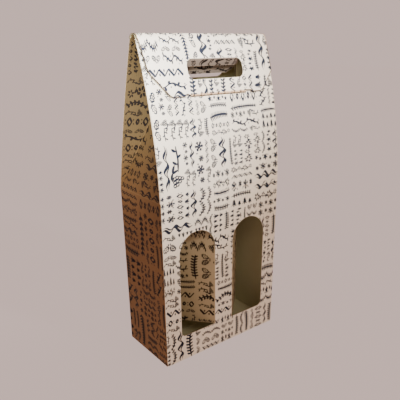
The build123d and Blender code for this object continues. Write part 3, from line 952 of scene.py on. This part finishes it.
# Along the lid's tapers and ears the edge wear runs past the raw board into a painted shadow of the gap
# under the lid's edge.
CLEAN, CREASE_RUB, EDGE_RUB_AND_SHADOW, EAR_RUB_AND_SHADOW = 0.3, 0.9, 1.8, 5.0
GRIP_HALF = 41.0  # of the grid over a tab, a little wider than the tab


def crease_wear(u):
    """Wear along the tongue's crease, with soiled spots."""
    return 0.8 + 1.3 * np.clip(np.sin(0.93 * u) * np.sin(0.37 * u + 1), -0.2, 1)


def over_tongue(u):
    return np.abs(u - SHIFT) < TUCK_HALF + 0.1


def lid_rubs_and_shadow(u, v):
    """Darkest along the tapers and ears, as handling wear and a painted shadow of the gap under the lid's
    edge; clean round the hand hole.
    """
    round_hole = (np.abs(u - SHIFT) < HOLE_WIDTH / 2 + 2) & (v > lid_v(LID_END) + 5)
    down = np.clip((lid_v(10) - v) / 20, 0, 1)
    return np.where(round_hole, CLEAN, np.where(over_tongue(u), CREASE_RUB, EDGE_RUB_AND_SHADOW + EAR_RUB_AND_SHADOW * down))


def lid_worn(u, v):
    return crease_wear(u) * over_tongue(u) * np.clip(1 - (v - lid_v(LID_END)) / LID_WORN, 0, 1)


def tongue_worn(u, v):
    return crease_wear(u) * np.clip((v + TONGUE_WORN) / TONGUE_WORN, 0, 1)


lid_lines = [-LID_ROLL * i / 9 for i in range(10)] + [lid_v(LID_END) + d for d in (0.8, 1.6, LID_WORN)]
board_panel(
    "lid", "lid",
    [
        [(x, lid_v(max(drop, 0))) for x, drop in lid_side(-1) + lid_side(1)[::-1]],
        hole_loop(lambda z: lid_v(TOP - z), SHIFT, 0),
    ],
    lid_surface, lines_between(-LID_HALF, LID_HALF, GRID, TONGUE_LINES),
    lines_between(lid_v(EAR_DROP), 0, GRID, lid_lines), PRINT, SHOULDER + REAR_HIGH, 5.0,
    worn=lid_worn, cut=LID_EDGE_IN_SHADOW, rubbed_and_shadowed=lid_rubs_and_shadow, wear_width=1.3,
)

left, right, foot = SHIFT - TUCK_HALF, SHIFT + TUCK_HALF, (SHIFT, -TONGUE)
outline = [(right, 0)]
outline += fillet((right, 0), (right - TONGUE_TAPER, -TONGUE), foot, TONGUE_CORNER)
outline += fillet(foot, (left + TONGUE_TAPER, -TONGUE), (left, 0), TONGUE_CORNER) + [(left, 0)]
board_panel(
    "tuck_tongue", "tongue", [[(right, TUCK_FOLD)] + outline + [(left, TUCK_FOLD)]],
    tongue_surface, TONGUE_LINES, lines_between(-TONGUE, 0, 2.0) + [TUCK_FOLD * i / 6 for i in range(1, 6)],
    PRINT, SHOULDER + REAR_HIGH + lid_v(LID_END), printed=[outline], worn=tongue_worn,
)

# Hand-hole tabs. The crease is square to the board, so the print stops short of the hole's edge
FRONT_GRIP_TOP = HOLE_TOP + HOLE_MARGIN
for node, body, radius, margin, length, foot, room in (
    ("front_grip", "front_tab", FRONT_BOW, HOLE_MARGIN, HOLE_HEIGHT + 2 * HOLE_MARGIN,
     HOLE_CORNER + HOLE_MARGIN - SLIP, SLIP),
    ("lid_grip", "lid_tab", LID_BOW, 0, LID_GRIP, LID_GRIP_CORNER, 0),
):
    top_z = HOLE_TOP + margin
    stretch = radius / (radius * math.cos(math.radians(front_angle(HOLE_TOP - 10, radius) - 180)))
    loop = grip_loop(margin, -length * stretch + room, -SLIP * stretch, foot)
    turn = abs(front_angle(top_z, radius) - front_angle(top_z, radius - BOARD))
    short = math.radians(turn) * radius
    board_panel(
        node, body, [loop], grip_surface(radius, top_z),
        lines_between(SHIFT - GRIP_HALF, SHIFT + GRIP_HALF, GRID),
        lines_between(-length, 0, 3.0) + [0.3, 0.6, 0.95],
        SHADED, SHOULDER + front_v(top_z), printed=[[(u, min(v, -short)) for u, v in loop]],
    )

# Window flaps
for side, name in SIDES:
    surface, hinge = flap_surface(side)
    outline = window_loop(side, SLIP)
    low, fold = WINDOW_LOW + SLIP, BOARD * math.radians(FLAP_ANGLES[side])
    loop = outline + [(hinge - side * fold, WINDOW_SPRING), (hinge - side * fold, low)]
    us = [hinge + side * x for x in lines_between(0, WINDOW_WIDTH, GRID)]
    us += [hinge - side * fold * i / 4 for i in range(1, 5)]
    board_panel(
        f"{name}_window_flap", f"{name}_flap", [loop], surface, sorted(us),
        lines_between(low, WINDOW_HIGH, GRID), FLAP_SHADE_TAN, printed=[outline],
    )

# Kept CAD pieces: the base flaps and the glue seam
for node in ("base_flap_front", "base_flap_rear", "base_flap_left", "base_flap_right", "glue_tab"):
    obj = frame["nodes"][node]
    obj.data.materials.clear()
    obj.data.materials.append(BASE)

# ---------------------------------------------------------------- the pen-drawn stamps
# Each stamp is a small drawing made of pen strokes, about 10 mm high, lying flat. A stroke is a
# run of cross-sections of four points, so that it can be trimmed and bent afterwards.
INK_LOW, INK_HIGH = 0.012, 0.045  # over the board, the ink's two faces
NIB = math.radians(38)  # the angle that the nib is held at
PRESSURE = 1.85
TAPER_SHARE = 0.18  # of a stroke's length, at each end
LONG_STEP = 9  # longer than any step of a curve, so that its own points are kept


def heading(degrees):
    """The unit vector that way, and the one to its left."""
    a = math.radians(degrees)
    return np.array((math.cos(a), math.sin(a))), np.array((-math.sin(a), math.cos(a)))


def resample(points, step):
    points = [np.array(p, float) for p in points]
    out = [points[0]]
    for a, b in zip(points, points[1:]):
        n = max(1, int(math.ceil(np.hypot(*(b - a)) / step)))
        out += [a + (b - a) * i / n for i in range(1, n + 1)]
    return np.array(out)


def pen(points, width, step=2.2, thin=0.45, taper=(0.5, 0.5), shape=None):
    """A stroke of a broad nib: widest across the nib's angle, thinner at its ends."""
    p = resample(points, step)
    run = np.gradient(p, axis=0)
    run /= np.maximum(np.linalg.norm(run, axis=1), 1e-9)[:, None]
    across = np.stack([-run[:, 1], run[:, 0]], 1)
    t = np.linspace(0, 1, len(p))
    if shape is None:
        slant = np.abs(np.sin(np.arctan2(run[:, 1], run[:, 0]) - NIB))
        w = PRESSURE * width * (thin + (1 - thin) * slant)
        for end, share in ((taper[0], t), (taper[1], 1 - t)):
            w *= np.minimum(1, end + (1 - end) * share / TAPER_SHARE)
    else:
        w = 1.35 * width * np.array([shape(x) for x in t])
    return p - across * w[:, None] / 2, p + across * w[:, None] / 2


def leaf(base, angle, length, width):
    """A small filled leaf."""
    u, n = heading(angle)
    points = [
        np.array(base) + u * length * t + n * width * 0.25 * math.sin(math.pi * t)
        for t in (0, 0.2, 0.45, 0.7, 0.88, 1)
    ]

    def swell(t):
        return 0.12 + 0.88 * math.sin(math.pi * min(1, t * 0.97) ** 0.85)

    return pen(points, width, LONG_STEP, shape=swell)


def dots(r, *places):
    def disc(t):
        return 0.28 + 0.72 * math.sqrt(max(0, 1 - (2 * t - 1) ** 2))

    points = [[(x + r * t, y) for t in (-1, -0.75, -0.2, 0.2, 0.75, 1)] for x, y in places]
    return [pen(p, 2 * r, LONG_STEP, shape=disc) for p in points]


def vine(length=50):
    def rise(x):
        return 5 + 2.3 * math.sin(2 * math.pi * (x / 25))

    marks = [pen([(length * i / 45, rise(length * i / 45)) for i in range(46)], 1.35, LONG_STEP)]
    for i in range(8):
        x, up = 3.0 + 6.0 * i, 1 if i % 2 == 0 else -1
        marks.append(leaf((x, rise(x)), 58 * up, 4.4, 2.3))
        if i % 3 == 1:
            marks += dots(0.7, (x + 2.6, rise(x) - 3.0 * up))
    return marks, length


def fir_sprig(length=44):
    spine = ((0, 3.2), (13, 5.0), (29, 5.6), (44, 4.8))
    marks = [pen(spine, 1.5, 3)]
    for i in range(11):
        t = (i + 0.5) / 11.5
        foot = (length * t, float(np.interp(length * t, *zip(*spine))))
        for turn in (52, -52):
            needle = [foot, polar(foot, 5.4 * (1 - 0.4 * t), turn)]
            marks.append(pen(needle, 1.15, 2.8, taper=(0.9, 0.35)))
    return marks, length + 3


def star(x, y, r, width):
    """Five long filled points round a centre."""
    return [leaf((x, y), 90 + 72 * k, r, width) for k in range(5)]


def star_row(length=44):
    marks = []
    for x, y, r in ((5, 4.8, 4.8), (16, 6.4, 3.0), (26, 4.6, 4.6), (36, 6.2, 2.8), (43, 4.0, 3.4)):
        marks += star(x, y, r, r * 0.42)
    return marks + dots(0.75, (10.6, 2.2), (20.8, 2.0), (31.2, 2.3)), length + 3


def flake_row(length=40):
    marks = []
    for x, y, r, width in (
        (5, 5, 5.0, 1.15), (16.5, 6.4, 3.2, 0.9), (27, 4.8, 4.8, 1.15), (37, 6.2, 3.0, 0.9),
    ):
        centre = np.array((x, y))
        for k in range(6):
            u, _ = heading(30 + 60 * k)
            marks.append(pen([centre + u * 0.2, centre + u * r], width, 2.6, taper=(1, 0.6)))
            fork = centre + u * r * 0.6
            for turn in (52, -52):
                tip = fork + heading(30 + 60 * k + turn)[0] * r * 0.36
                marks.append(pen([fork, tip], width * 0.9, 3, taper=(1, 0.6)))
    return marks + dots(0.7, (11.4, 2.0), (21.4, 2.2), (32.4, 2.0)), length + 1


def diamond_row(length=46):
    marks = []
    for i in range(5):
        x, h = 4.5 + 9.3 * i, (4.3, 2.8)[i % 2]
        tips = [(x, 5 + h), (x + h * 0.62, 5), (x, 5 - h), (x - h * 0.62, 5)]
        marks += [pen([a, b], 1.2, 3, taper=(1, 1)) for a, b in zip(tips, tips[1:] + tips[:1])]
        marks += dots(0.6, (x + 4.65, 7.0), (x + 4.65, 3.0))
    return marks, length + 2


def holly(length=46):
    marks = []
    prickles = ((0.14, 1.0), (0.26, 2.6), (0.42, 1.5), (0.56, 2.6), (0.72, 1.2), (0.84, 1.7), (1, 0))
    for x in (1.5, 25.5):
        for start, angle in ((x + 9.4, 158), (x + 10.8, 22)):
            base, size = np.array((start, 4.6)), 9.2
            u, n = heading(angle)
            for up in (1, -1):
                edge = [base] + [base + u * size * t + n * up * bulge for t, bulge in prickles]
                marks.append(pen(edge, 1.05, LONG_STEP, taper=(0.8, 0.8)))
            marks.append(pen([base + u * 1.4, base + u * size * 0.78], 0.7, 3))
        marks += dots(0.8, (x + 8.6, 2.2), (x + 11.6, 2.2))
    return marks, length


def grapes(length=35):
    marks = []
    for row, count in enumerate((3, 3, 2, 1)):
        for i in range(count):
            centre = (5.6 + 2.9 * (i - (count - 1) / 2) + 0.8 * row, 8.0 - 2.3 * row)
            outline = [polar(centre, 1.25, 360 * k / 7) for k in range(8)]
            marks.append(pen(outline, 0.72, LONG_STEP, taper=(1, 1)))
    marks.append(pen([(6.5, 9.6), (9.0, 10.6), (13, 9.6)], 1.3, 2))
    marks += [leaf((12.4, 9.4), -18, 7.4, 1.7), leaf((12.4, 9.4), -62, 5.6, 1.5)]
    marks.append(pen([(13.5, 4.4), (23, 3.6), (34, 4.6)], 1.1, 6))
    marks += [leaf((19.5, 4.2), 56, 5.2, 1.7), leaf((29.5, 4.4), 56, 4.8, 1.7)]
    marks.append(leaf((24.5, 3.4), -50, 3.6, 1.5))
    return marks, length


def garland(length=48):
    """Two leafy swags hung from stars."""
    marks = []
    span, sag = 24, 5.6
    for x0 in (0, span):

        def hang(t):
            return x0 + span * t, 8.6 - sag * math.sin(math.pi * t)

        marks.append(pen([hang(t) for t in np.linspace(0, 1, 13)], 1.2, LONG_STEP))
        for t in (j / 6 for j in range(1, 6)):
            slope = math.degrees(math.atan2(-sag * math.pi * math.cos(math.pi * t), span))
            marks += [leaf(hang(t), slope + 62, 3.5, 1.8), leaf(hang(t), slope - 62, 3.3, 1.7)]
        marks += star(x0 + 0.6, 8.6, 2.3, 1.0)
    return marks, length


def tree_row(length=40):
    marks = []
    for x, h in ((4.8, 10.0), (15, 6.8), (25, 9.4), (35, 7.0)):
        marks.append(pen([(x, 0.4), (x, h * 0.92)], 1.1, 3, taper=(1, 0.5)))
        for k in range(3):
            top = 2.0 + (h - 2.0) * (k + 1.3) / 3.3
            reach, foot = (0.48 - 0.11 * k) * h, 1.8 + (h - 2.0) * k / 3.3
            for side in (1, -1):
                bough = [(x, top), (x + side * reach * 0.5, foot + 1.0), (x + side * reach, foot)]
                marks.append(pen(bough, 1.15, 3, taper=(1, 0.5)))
    return marks, length


def swash(length=54):
    """Two waves that swell in the middle."""
    marks = []
    for k, (y, rise, width) in enumerate(((6.2, 2.9, 2.0), (3.6, 2.0, 1.1))):
        points = [
            (x, y + rise * math.sin(2 * math.pi * x / 18 + 0.6 * k) * math.sin(math.pi * x / length) ** 0.6)
            for x in np.linspace(2.5 * k + 0.01, length - 2.5 * k - 0.01, 50)
        ]
        marks.append(pen(points, width, LONG_STEP, thin=0.28, taper=(0.2, 0.2)))
    return marks, length


def zigzag_row(length=46):
    """A zigzag with a dot in every notch."""
    corners = [(1 + 5.5 * i, 7.6 if i % 2 else 2.2) for i in range(9)]
    marks = [pen([a, b], 1.35, 3, taper=(0.9, 0.9)) for a, b in zip(corners, corners[1:])]
    notches = ((x, 3.4 if i % 2 else 6.6) for i, (x, _) in enumerate(corners[1:-1], 1))
    return marks + dots(0.85, *notches), length + 1


def laurel(length=48):
    def stem(x):
        return x, 4.2 + 1.6 * math.sin(math.pi * x / length)

    marks = [pen([stem(x) for x in np.linspace(0, length, 15)], 1.2, LONG_STEP)]
    for x in (length * i / 9 for i in range(1, 9)):
        marks += [leaf(stem(x), 44, 5.2, 2.1), leaf(stem(x), -44, 4.8, 2.0)]
    return marks, length + 4


def flower_row(length=45):
    marks = []
    for x, y, r in ((5.2, 5, 5.0), (17, 6.0, 3.4), (28.5, 4.8, 5.0), (40, 6.0, 3.4)):
        for a in (60 * k + 12 for k in range(6)):
            marks.append(leaf(polar((x, y), 0.26 * r, a), a, r * 0.74, r * 0.36))
    for x in (11.6, 22.6, 34.6):
        marks += [leaf((x, 2.4), turn, 3.6, 1.5) for turn in (62, 118)]
        marks.append(pen([(x, 0.6), (x, 3.0)], 0.9, 3))
    return marks, length


DRAWINGS = (
    vine, fir_sprig, star_row, flake_row, diamond_row, holly, grapes, garland, tree_row, swash, zigzag_row,
    laurel, flower_row,
)


def ribbon(left, right):
    """The points of one stroke. Its sections run left low, right low, right high, left high."""
    verts = np.zeros((len(left), 4, 3))
    verts[:, :, :2] = np.stack([left, right, right, left], 1)
    verts[:, :, 2] = INK_LOW, INK_LOW, INK_HIGH, INK_HIGH
    return verts.reshape(-1, 3)


def ribbon_faces(n, base=0):
    """The faces of a stroke of n sections, its two ends closed."""
    faces = []
    for i in range(n - 1):
        a, b = base + 4 * i, base + 4 * i + 4
        faces += [(a + k, a + (k + 1) % 4, b + (k + 1) % 4, b + k) for k in range(4)]
    last = base + 4 * (n - 1)
    return faces + [(base + 3, base + 2, base + 1, base), (last, last + 1, last + 2, last + 3)]


stamps = bpy.data.collections.new("stamps")
stamp_lengths = []
for i, draw in enumerate(DRAWINGS):
    marks, length = draw()
    verts, faces = [], []
    for left, right in marks:
        faces += ribbon_faces(len(left), len(verts))
        verts += [tuple(x) for x in ribbon(left, right)]
    mesh = bpy.data.meshes.new(f"stamp_{i:02d}")
    mesh.from_pydata(verts, [], faces)
    stamps.objects.link(bpy.data.objects.new(f"stamp_{i:02d}", mesh))
    stamp_lengths.append(length)


def stamping_tree():
    """Puts a stamp on every point, turned and sized as the point says."""
    tree = bpy.data.node_groups.new("stamp_the_print", "GeometryNodeTree")
    for name, kind, way in (
        ("Places", "NodeSocketGeometry", "INPUT"), ("Stamps", "NodeSocketCollection", "INPUT"),
        ("Ink", "NodeSocketMaterial", "INPUT"), ("Unsteady hand", "NodeSocketFloat", "INPUT"),
        ("Seed", "NodeSocketInt", "INPUT"), ("Print", "NodeSocketGeometry", "OUTPUT"),
    ):
        tree.interface.new_socket(name, in_out=way, socket_type=kind)
    node = node_maker(tree)
    given = node("NodeGroupInput").outputs
    choices = {"Collection": given["Stamps"], "Separate Children": True, "Reset Children": True}
    drawings = node("GeometryNodeCollectionInfo", choices).outputs[0]
    stamp, turn, size = (
        node("GeometryNodeInputNamedAttribute", {"Name": name}, data_type=kind).outputs["Attribute"]
        for name, kind in (("stamp", "INT"), ("turn", "FLOAT"), ("size", "FLOAT_VECTOR"))
    )
    shake = node("FunctionNodeRandomValue", {"Seed": given["Seed"]}, data_type="FLOAT")
    low, high = (s for s in shake.inputs if s.name in ("Min", "Max") and s.type == "VALUE")
    tree.links.new(sums(node, "MULTIPLY", given["Unsteady hand"], -1.0), low)
    tree.links.new(given["Unsteady hand"], high)
    shaken = next(s for s in shake.outputs if s.type == "VALUE")
    about = node("ShaderNodeCombineXYZ", {"Z": sums(node, "ADD", turn, shaken)}).outputs[0]
    placed = node("GeometryNodeInstanceOnPoints", {
        "Points": given["Places"], "Instance": drawings, "Pick Instance": True, "Instance Index": stamp,
        "Rotation": about, "Scale": size,
    })
    real = node("GeometryNodeRealizeInstances", {0: placed.outputs[0]}).outputs[0]
    inked = node("GeometryNodeSetMaterial", {"Geometry": real, "Material": given["Ink"]}).outputs[0]
    node("NodeGroupOutput", {"Print": inked})
    return tree


# ---------------------------------------------------------------- laying out the print
STAMPING = stamping_tree()
UNSTEADY = 0.018  # radians
STAMP_HEIGHT = 11.6  # of a drawing and its room, before it is sized to its row
STAMP_GAP = 4
STAMP_FOOT = 0.8
ROW_HEIGHTS = (16.0, 13.5, 11.5, 9.0, 7.8, 7.8)
ROW_FULL, ROW_ENOUGH, ROW_OVER = 1.12, 0.8, 1.25  # shares of a row's length
LARGE_PATCH, MIDDLE_PATCH = 74, 46
CUT_MIDDLE, UPRIGHT, FLIPPED = 0.55, 0.5, 0.3  # how often a patch is so


def patches(u0, v0, u1, v1, pick):
    """Cuts a sheet into patches by turns, as a compositor would."""
    w, h = u1 - u0, v1 - v0
    longer = max(w, h)
    if longer > LARGE_PATCH or (longer > MIDDLE_PATCH and pick.random() < CUT_MIDDLE):
        share = pick.uniform(0.38, 0.62)
        if w > h:
            return patches(u0, v0, u0 + w * share, v1, pick) + patches(u0 + w * share, v0, u1, v1, pick)
        return patches(u0, v0, u1, v0 + h * share, pick) + patches(u0, v0 + h * share, u1, v1, pick)
    return [(u0, v0, u1, v1, pick.random() < UPRIGHT, pick.random() < FLIPPED)]


def stamp_step(kind, scale):
    return (stamp_lengths[kind] + STAMP_GAP) * scale


def fill_row(long, scale, pick):
    """Stamps for a row, about as long together as it is, and no two alike side by side."""
    chosen, total = [], 0.0
    while True:
        kind = pick.randrange(len(DRAWINGS))
        step = stamp_step(kind, scale)
        if not chosen or (total + step <= long * ROW_FULL and kind != chosen[-1]):
            chosen.append(kind)
            total += step
        elif total > long * ROW_ENOUGH:
            return chosen, total
        elif total + step > long * ROW_OVER:
            left = long - total
            closest = min(range(len(DRAWINGS)), key=lambda k: abs(stamp_step(k, scale) - left))
            return chosen + [closest], total + stamp_step(closest, scale)


def lay_rows(sheet_box, seed):
    """Points for the stamps: each patch is filled with level or upright rows, large and small."""
    pick = random.Random(seed)
    points, turns, sizes, kinds = [], [], [], []
    for u0, v0, u1, v1, upright, flipped in patches(*sheet_box, pick):
        long, across = (v1 - v0, u1 - u0) if upright else (u1 - u0, v1 - v0)
        rows = []
        while sum(rows) < across - 3:
            rows.append(pick.choice(ROW_HEIGHTS))
        fit = across / sum(rows)
        turn = (math.pi / 2 if upright else 0) + (math.pi if flipped else 0)
        cos, sin = math.cos(turn), math.sin(turn)
        cu, cv = (u0 + u1) / 2, (v0 + v1) / 2
        y = -across / 2
        for height in rows:
            scale = height * fit / STAMP_HEIGHT
            chosen, total = fill_row(long, scale, pick)
            stretch = long / total
            x = -long / 2
            for kind in chosen:
                lx, ly = x + STAMP_GAP / 2 * scale * stretch, y + STAMP_FOOT * scale
                points.append((cu + lx * cos - ly * sin, cv + lx * sin + ly * cos, 0))
                turns.append(turn)
                sizes.append((scale * stretch, scale, 1))
                kinds.append(kind)
                x += stamp_step(kind, scale) * stretch
            y += height * fit
    return points, turns, sizes, kinds


def printed_sheet(sheet_box, seed):
    """The whole print of a sheet before it is cut: cross-sections, and which ones join."""
    points, turns, sizes, kinds = lay_rows(sheet_box, seed)
    mesh = bpy.data.meshes.new("places")
    mesh.from_pydata(points, [], [])
    for name, kind, key, values in (
        ("turn", "FLOAT", "value", turns), ("size", "FLOAT_VECTOR", "vector", sizes),
        ("stamp", "INT", "value", kinds),
    ):
        mesh.attributes.new(name, kind, "POINT").data.foreach_set(key, np.array(values).ravel())
    obj = bpy.data.objects.new("places", mesh)
    bpy.context.scene.collection.objects.link(obj)
    stamping = obj.modifiers.new("print", "NODES")
    stamping.node_group = STAMPING
    sockets = {s.name: s.identifier for s in STAMPING.interface.items_tree if s.in_out == "INPUT"}
    for name, value in (("Stamps", stamps), ("Ink", BLUE_INK), ("Unsteady hand", UNSTEADY), ("Seed", seed)):
        stamping[sockets[name]] = value
    depsgraph = bpy.context.evaluated_depsgraph_get()
    real = bpy.data.meshes.new_from_object(obj.evaluated_get(depsgraph))
    bpy.data.objects.remove(obj)
    verts = np.zeros(len(real.vertices) * 3)
    real.vertices.foreach_get("co", verts)
    edges = np.zeros(len(real.edges) * 2, np.int64)
    real.edges.foreach_get("vertices", edges)
    edges = np.sort(edges.reshape(-1, 2), 1)
    along = edges[(edges[:, 0] % 4 == 0) & (edges[:, 1] == edges[:, 0] + 4)]
    joined = np.zeros(len(verts) // 12, bool)
    joined[along[:, 0] // 4] = True
    bpy.data.meshes.remove(real)
    return verts.reshape(-1, 4, 3), joined


# ---------------------------------------------------------------- cutting and folding the print
PRINT_EDGE = 0.15  # bare board left at an outline
THINNEST = 0.03  # share of a stroke's width that is left where its sides are drawn in


def bisected(good_at, count, start, steps):
    """Shares between start and 1, where good_at holds at start: the last good and the first bad."""
    lo, hi = np.full(count, start), np.ones(count)
    for _ in range(steps):
        t = (lo + hi) / 2
        good = good_at(t)
        lo, hi = np.where(good, t, lo), np.where(good, hi, t)
    return lo, hi


def strokes_within(sheet, start, loops):
    """The strokes of a sheet inside an outline that starts at a height on it, each as an
    array of flat cross-sections. A stroke's ends are cut, and its sides drawn in."""
    sections, joined = sheet
    flat = sections[:, :, :2] - (0, start)
    middle = flat.mean(1)
    low, high = np.min(loops[0], 0) - 1, np.max(loops[0], 0) + 1
    near = np.all((middle > low) & (middle < high), 1)
    room = np.zeros(len(middle))
    room[near] = edge_distance(middle[near], loops)
    kept = np.zeros(len(middle), bool)
    kept[near] = inside(middle[near], loops) & (room[near] > PRINT_EDGE)

    def allowed(points):
        return inside(points, loops) & (edge_distance(points, loops) > PRINT_EDGE)

    def drawn_in(quads):
        centre = quads.mean(1)
        for pair in ((0, 3), (1, 2)):
            out = ~allowed(quads[:, pair[0]])
            if out.any():
                a, b = centre[out], quads[out, pair[0]]
                last, _ = bisected(lambda t: allowed(a + (b - a) * t[:, None]), out.sum(), THINNEST, 6)
                for k in pair:
                    quads[out, k] = a + (b - a) * last[:, None]
        return quads

    ends = {}
    first = np.flatnonzero(joined[:-1] & (kept[:-1] != kept[1:]))
    if len(first):
        starts_in = kept[first]
        a, b = middle[first], middle[first + 1]

        def same_side(t):
            return allowed(a * (1 - t)[:, None] + b * t[:, None]) == starts_in

        t = np.where(starts_in, *bisected(same_side, len(first), 0.0, 7))[:, None, None]
        ends = dict(zip(first.tolist(), drawn_in(flat[first] * (1 - t) + flat[first + 1] * t)))
    width = np.abs(flat - middle[:, None]).max((1, 2)) * 1.5
    tight = np.flatnonzero(kept & (room < PRINT_EDGE + width))
    flat[tight] = drawn_in(flat[tight])
    runs = []
    previous = -2
    for i in np.flatnonzero(kept).tolist():
        if i != previous + 1 or not joined[previous]:
            runs.append([ends[i - 1]] if i - 1 in ends else [])
        runs[-1].append(flat[i])
        if i in ends:
            runs[-1].append(ends[i])
        previous = i
    return [np.array(run) for run in runs if len(run) > 1]


def cut_and_fold(name, body, parts, ink=BLUE_INK):
    """One printed piece from parts, each a sheet, a node, and where on the sheet it starts."""
    verts, faces = [], []
    base = 0
    for sheet, node, start in parts:
        surface, loops = printed_faces[node]
        runs = strokes_within(sheet, start, loops)
        flat = np.concatenate(runs).reshape(-1, 2)
        p, n = surface(flat[:, 0], flat[:, 1])
        lift = np.tile(sheet[0][0, :, 2], len(flat) // 4)
        verts.append((p + n * lift[:, None]) * MM)
        for run in runs:
            faces += ribbon_faces(len(run), base)
            base += 4 * len(run)
    obj = new_object(name, np.concatenate(verts), faces, [0] * len(faces), [ink], smooth=40)
    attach(obj, body)


BLEED = 2  # print beyond the panels, on the sheet
WING_WIDTH = 50  # more than the widest wing
wide, narrow = HALF_WIDTH + BLEED, HALF_DEPTH + BLEED
front_sheet = printed_sheet((-wide, -BLEED, wide, SHOULDER + FRONT_HIGH + BLEED), 11)
rear_sheet = printed_sheet((-wide, -BLEED, wide, SHOULDER + REAR_HIGH + BLEED), 23)
lid_sheet = printed_sheet((-wide, lid_v(EAR_DROP) - TONGUE - BLEED, wide, BLEED), 5)
side_sheets = {
    side: printed_sheet((-narrow, -BLEED, narrow, SHOULDER + GUSSET_LENGTH), seed)
    for side, seed in ((-1, 31), (1, 47))
}
wing_sheets = {}
for side in (-1, 1):
    for front in (True, False):
        left, right = (-1, WING_WIDTH) if wing_sign(side, front) > 0 else (-WING_WIDTH, 1)
        wing_sheets[side, front] = printed_sheet((left, SHOULDER, right, MOUTH + 1), 60 + side + 3 * front)

cut_and_fold("front_print", "carton", [
    (front_sheet, "front_panel", 0), (front_sheet, "front_shoulder_panel", SHOULDER),
])
cut_and_fold("rear_print", "carton", [(rear_sheet, "rear_panel", 0)])
cut_and_fold("rear_slope_print", "carton", [(rear_sheet, "rear_shoulder_panel", SHOULDER)])
cut_and_fold("lid_print", "lid", [(lid_sheet, "lid", 0)])
cut_and_fold("tongue_print", "tongue", [(lid_sheet, "tuck_tongue", lid_v(LID_END))])
cut_and_fold("lid_grip_print", "lid_tab", [(lid_sheet, "lid_grip", lid_v(TOP - HOLE_TOP))], INK_IN_PAINTED_SHADE)
cut_and_fold("front_grip_print", "front_tab", [
    (front_sheet, "front_grip", SHOULDER + front_v(FRONT_GRIP_TOP)),
], INK_IN_PAINTED_SHADE)
for side, name in SIDES:
    cut_and_fold(f"{name}_side_print", "carton", [
        (side_sheets[side], f"{name}_side_panel", 0),
        (side_sheets[side], f"{name}_gusset_triangle", SHOULDER),
        (wing_sheets[side, True], f"{name}_gusset_front", 0),
        (wing_sheets[side, False], f"{name}_gusset_rear", 0),
    ], INK_IN_PAINTED_SHADE)
    cut_and_fold(f"{name}_flap_print", f"{name}_flap", [(front_sheet, f"{name}_window_flap", 0)], INK_IN_PAINTED_SHADE)
for stamp in list(stamps.objects):
    bpy.data.objects.remove(stamp)
bpy.data.collections.remove(stamps)

# ---------------------------------------------------------------- floor, lights and camera
BACKDROP = (0.768, 0.574, 0.525)

floor_material, floor_shader, _ = material("plain_floor")
put(floor_shader, "Base Color", (0.06, 0.05, 0.048, 1))
put(floor_shader, "Roughness", 1.0)
put(floor_shader, "Specular IOR Level", 0.0)
put(floor_shader, "Emission Color", (*BACKDROP, 1))
put(floor_shader, "Emission Strength", 0.94)
bpy.ops.mesh.primitive_plane_add(size=12)
floor = bpy.context.object
floor.name = "floor"
floor.data.materials.append(floor_material)

world = bpy.data.worlds.new("studio")
bpy.context.scene.world = world
world.use_nodes = True
put(world.node_tree.nodes["Background"], "Color", (*BACKDROP, 1))
put(world.node_tree.nodes["Background"], "Strength", 1.0)


def lamp(kind, name, place, target, power, colour, **settings):
    light = bpy.data.lights.new(name, kind)
    light.energy = power
    light.color = colour
    for key, value in settings.items():
        setattr(light, key, value)
    obj = bpy.data.objects.new(name, light)
    obj.location = place
    obj.rotation_euler = (Vector(target) - Vector(place)).to_track_quat("-Z", "Y").to_euler()
    bpy.context.scene.collection.objects.link(obj)


for name, place, target, cone, power, colour in (
    ("key_light", (0.25, -0.85, 0.82), (-0.045, -0.03, 0.42), 33, 35, (1.0, 0.90, 0.56)),
    ("top_light", (0.25, -0.85, 0.85), (-0.055, -0.03, 0.385), 25, 106, (0.92, 1.0, 1.24)),
    ("gusset_light", (-0.86, -0.74, 0.60), (-0.102, 0.075, 0.325), 13.6, 215, (0.95, 1.04, 1.06)),
):
    lamp(
        "SPOT", name, place, target, power, colour,
        spot_size=math.radians(cone), spot_blend=1.0, shadow_soft_size=0.06,
    )
lamp("AREA", "window_fill", (-0.30, -1.0, 1.0), (0.01, 0, 0.06), 3.0, (1.0, 1.0, 0.90), size=0.4)

camera = bpy.data.cameras.new("camera")
camera.lens = 44.57
camera.sensor_width = 36
camera.shift_x = -0.0378
camera.shift_y = 0.1106
view = bpy.data.objects.new("camera", camera)
view.location = (-0.36397, -0.48263, 0.38058)
view.rotation_euler = (math.radians(67.35), 0, math.radians(-38.64))
bpy.context.scene.collection.objects.link(view)
bpy.context.scene.camera = view
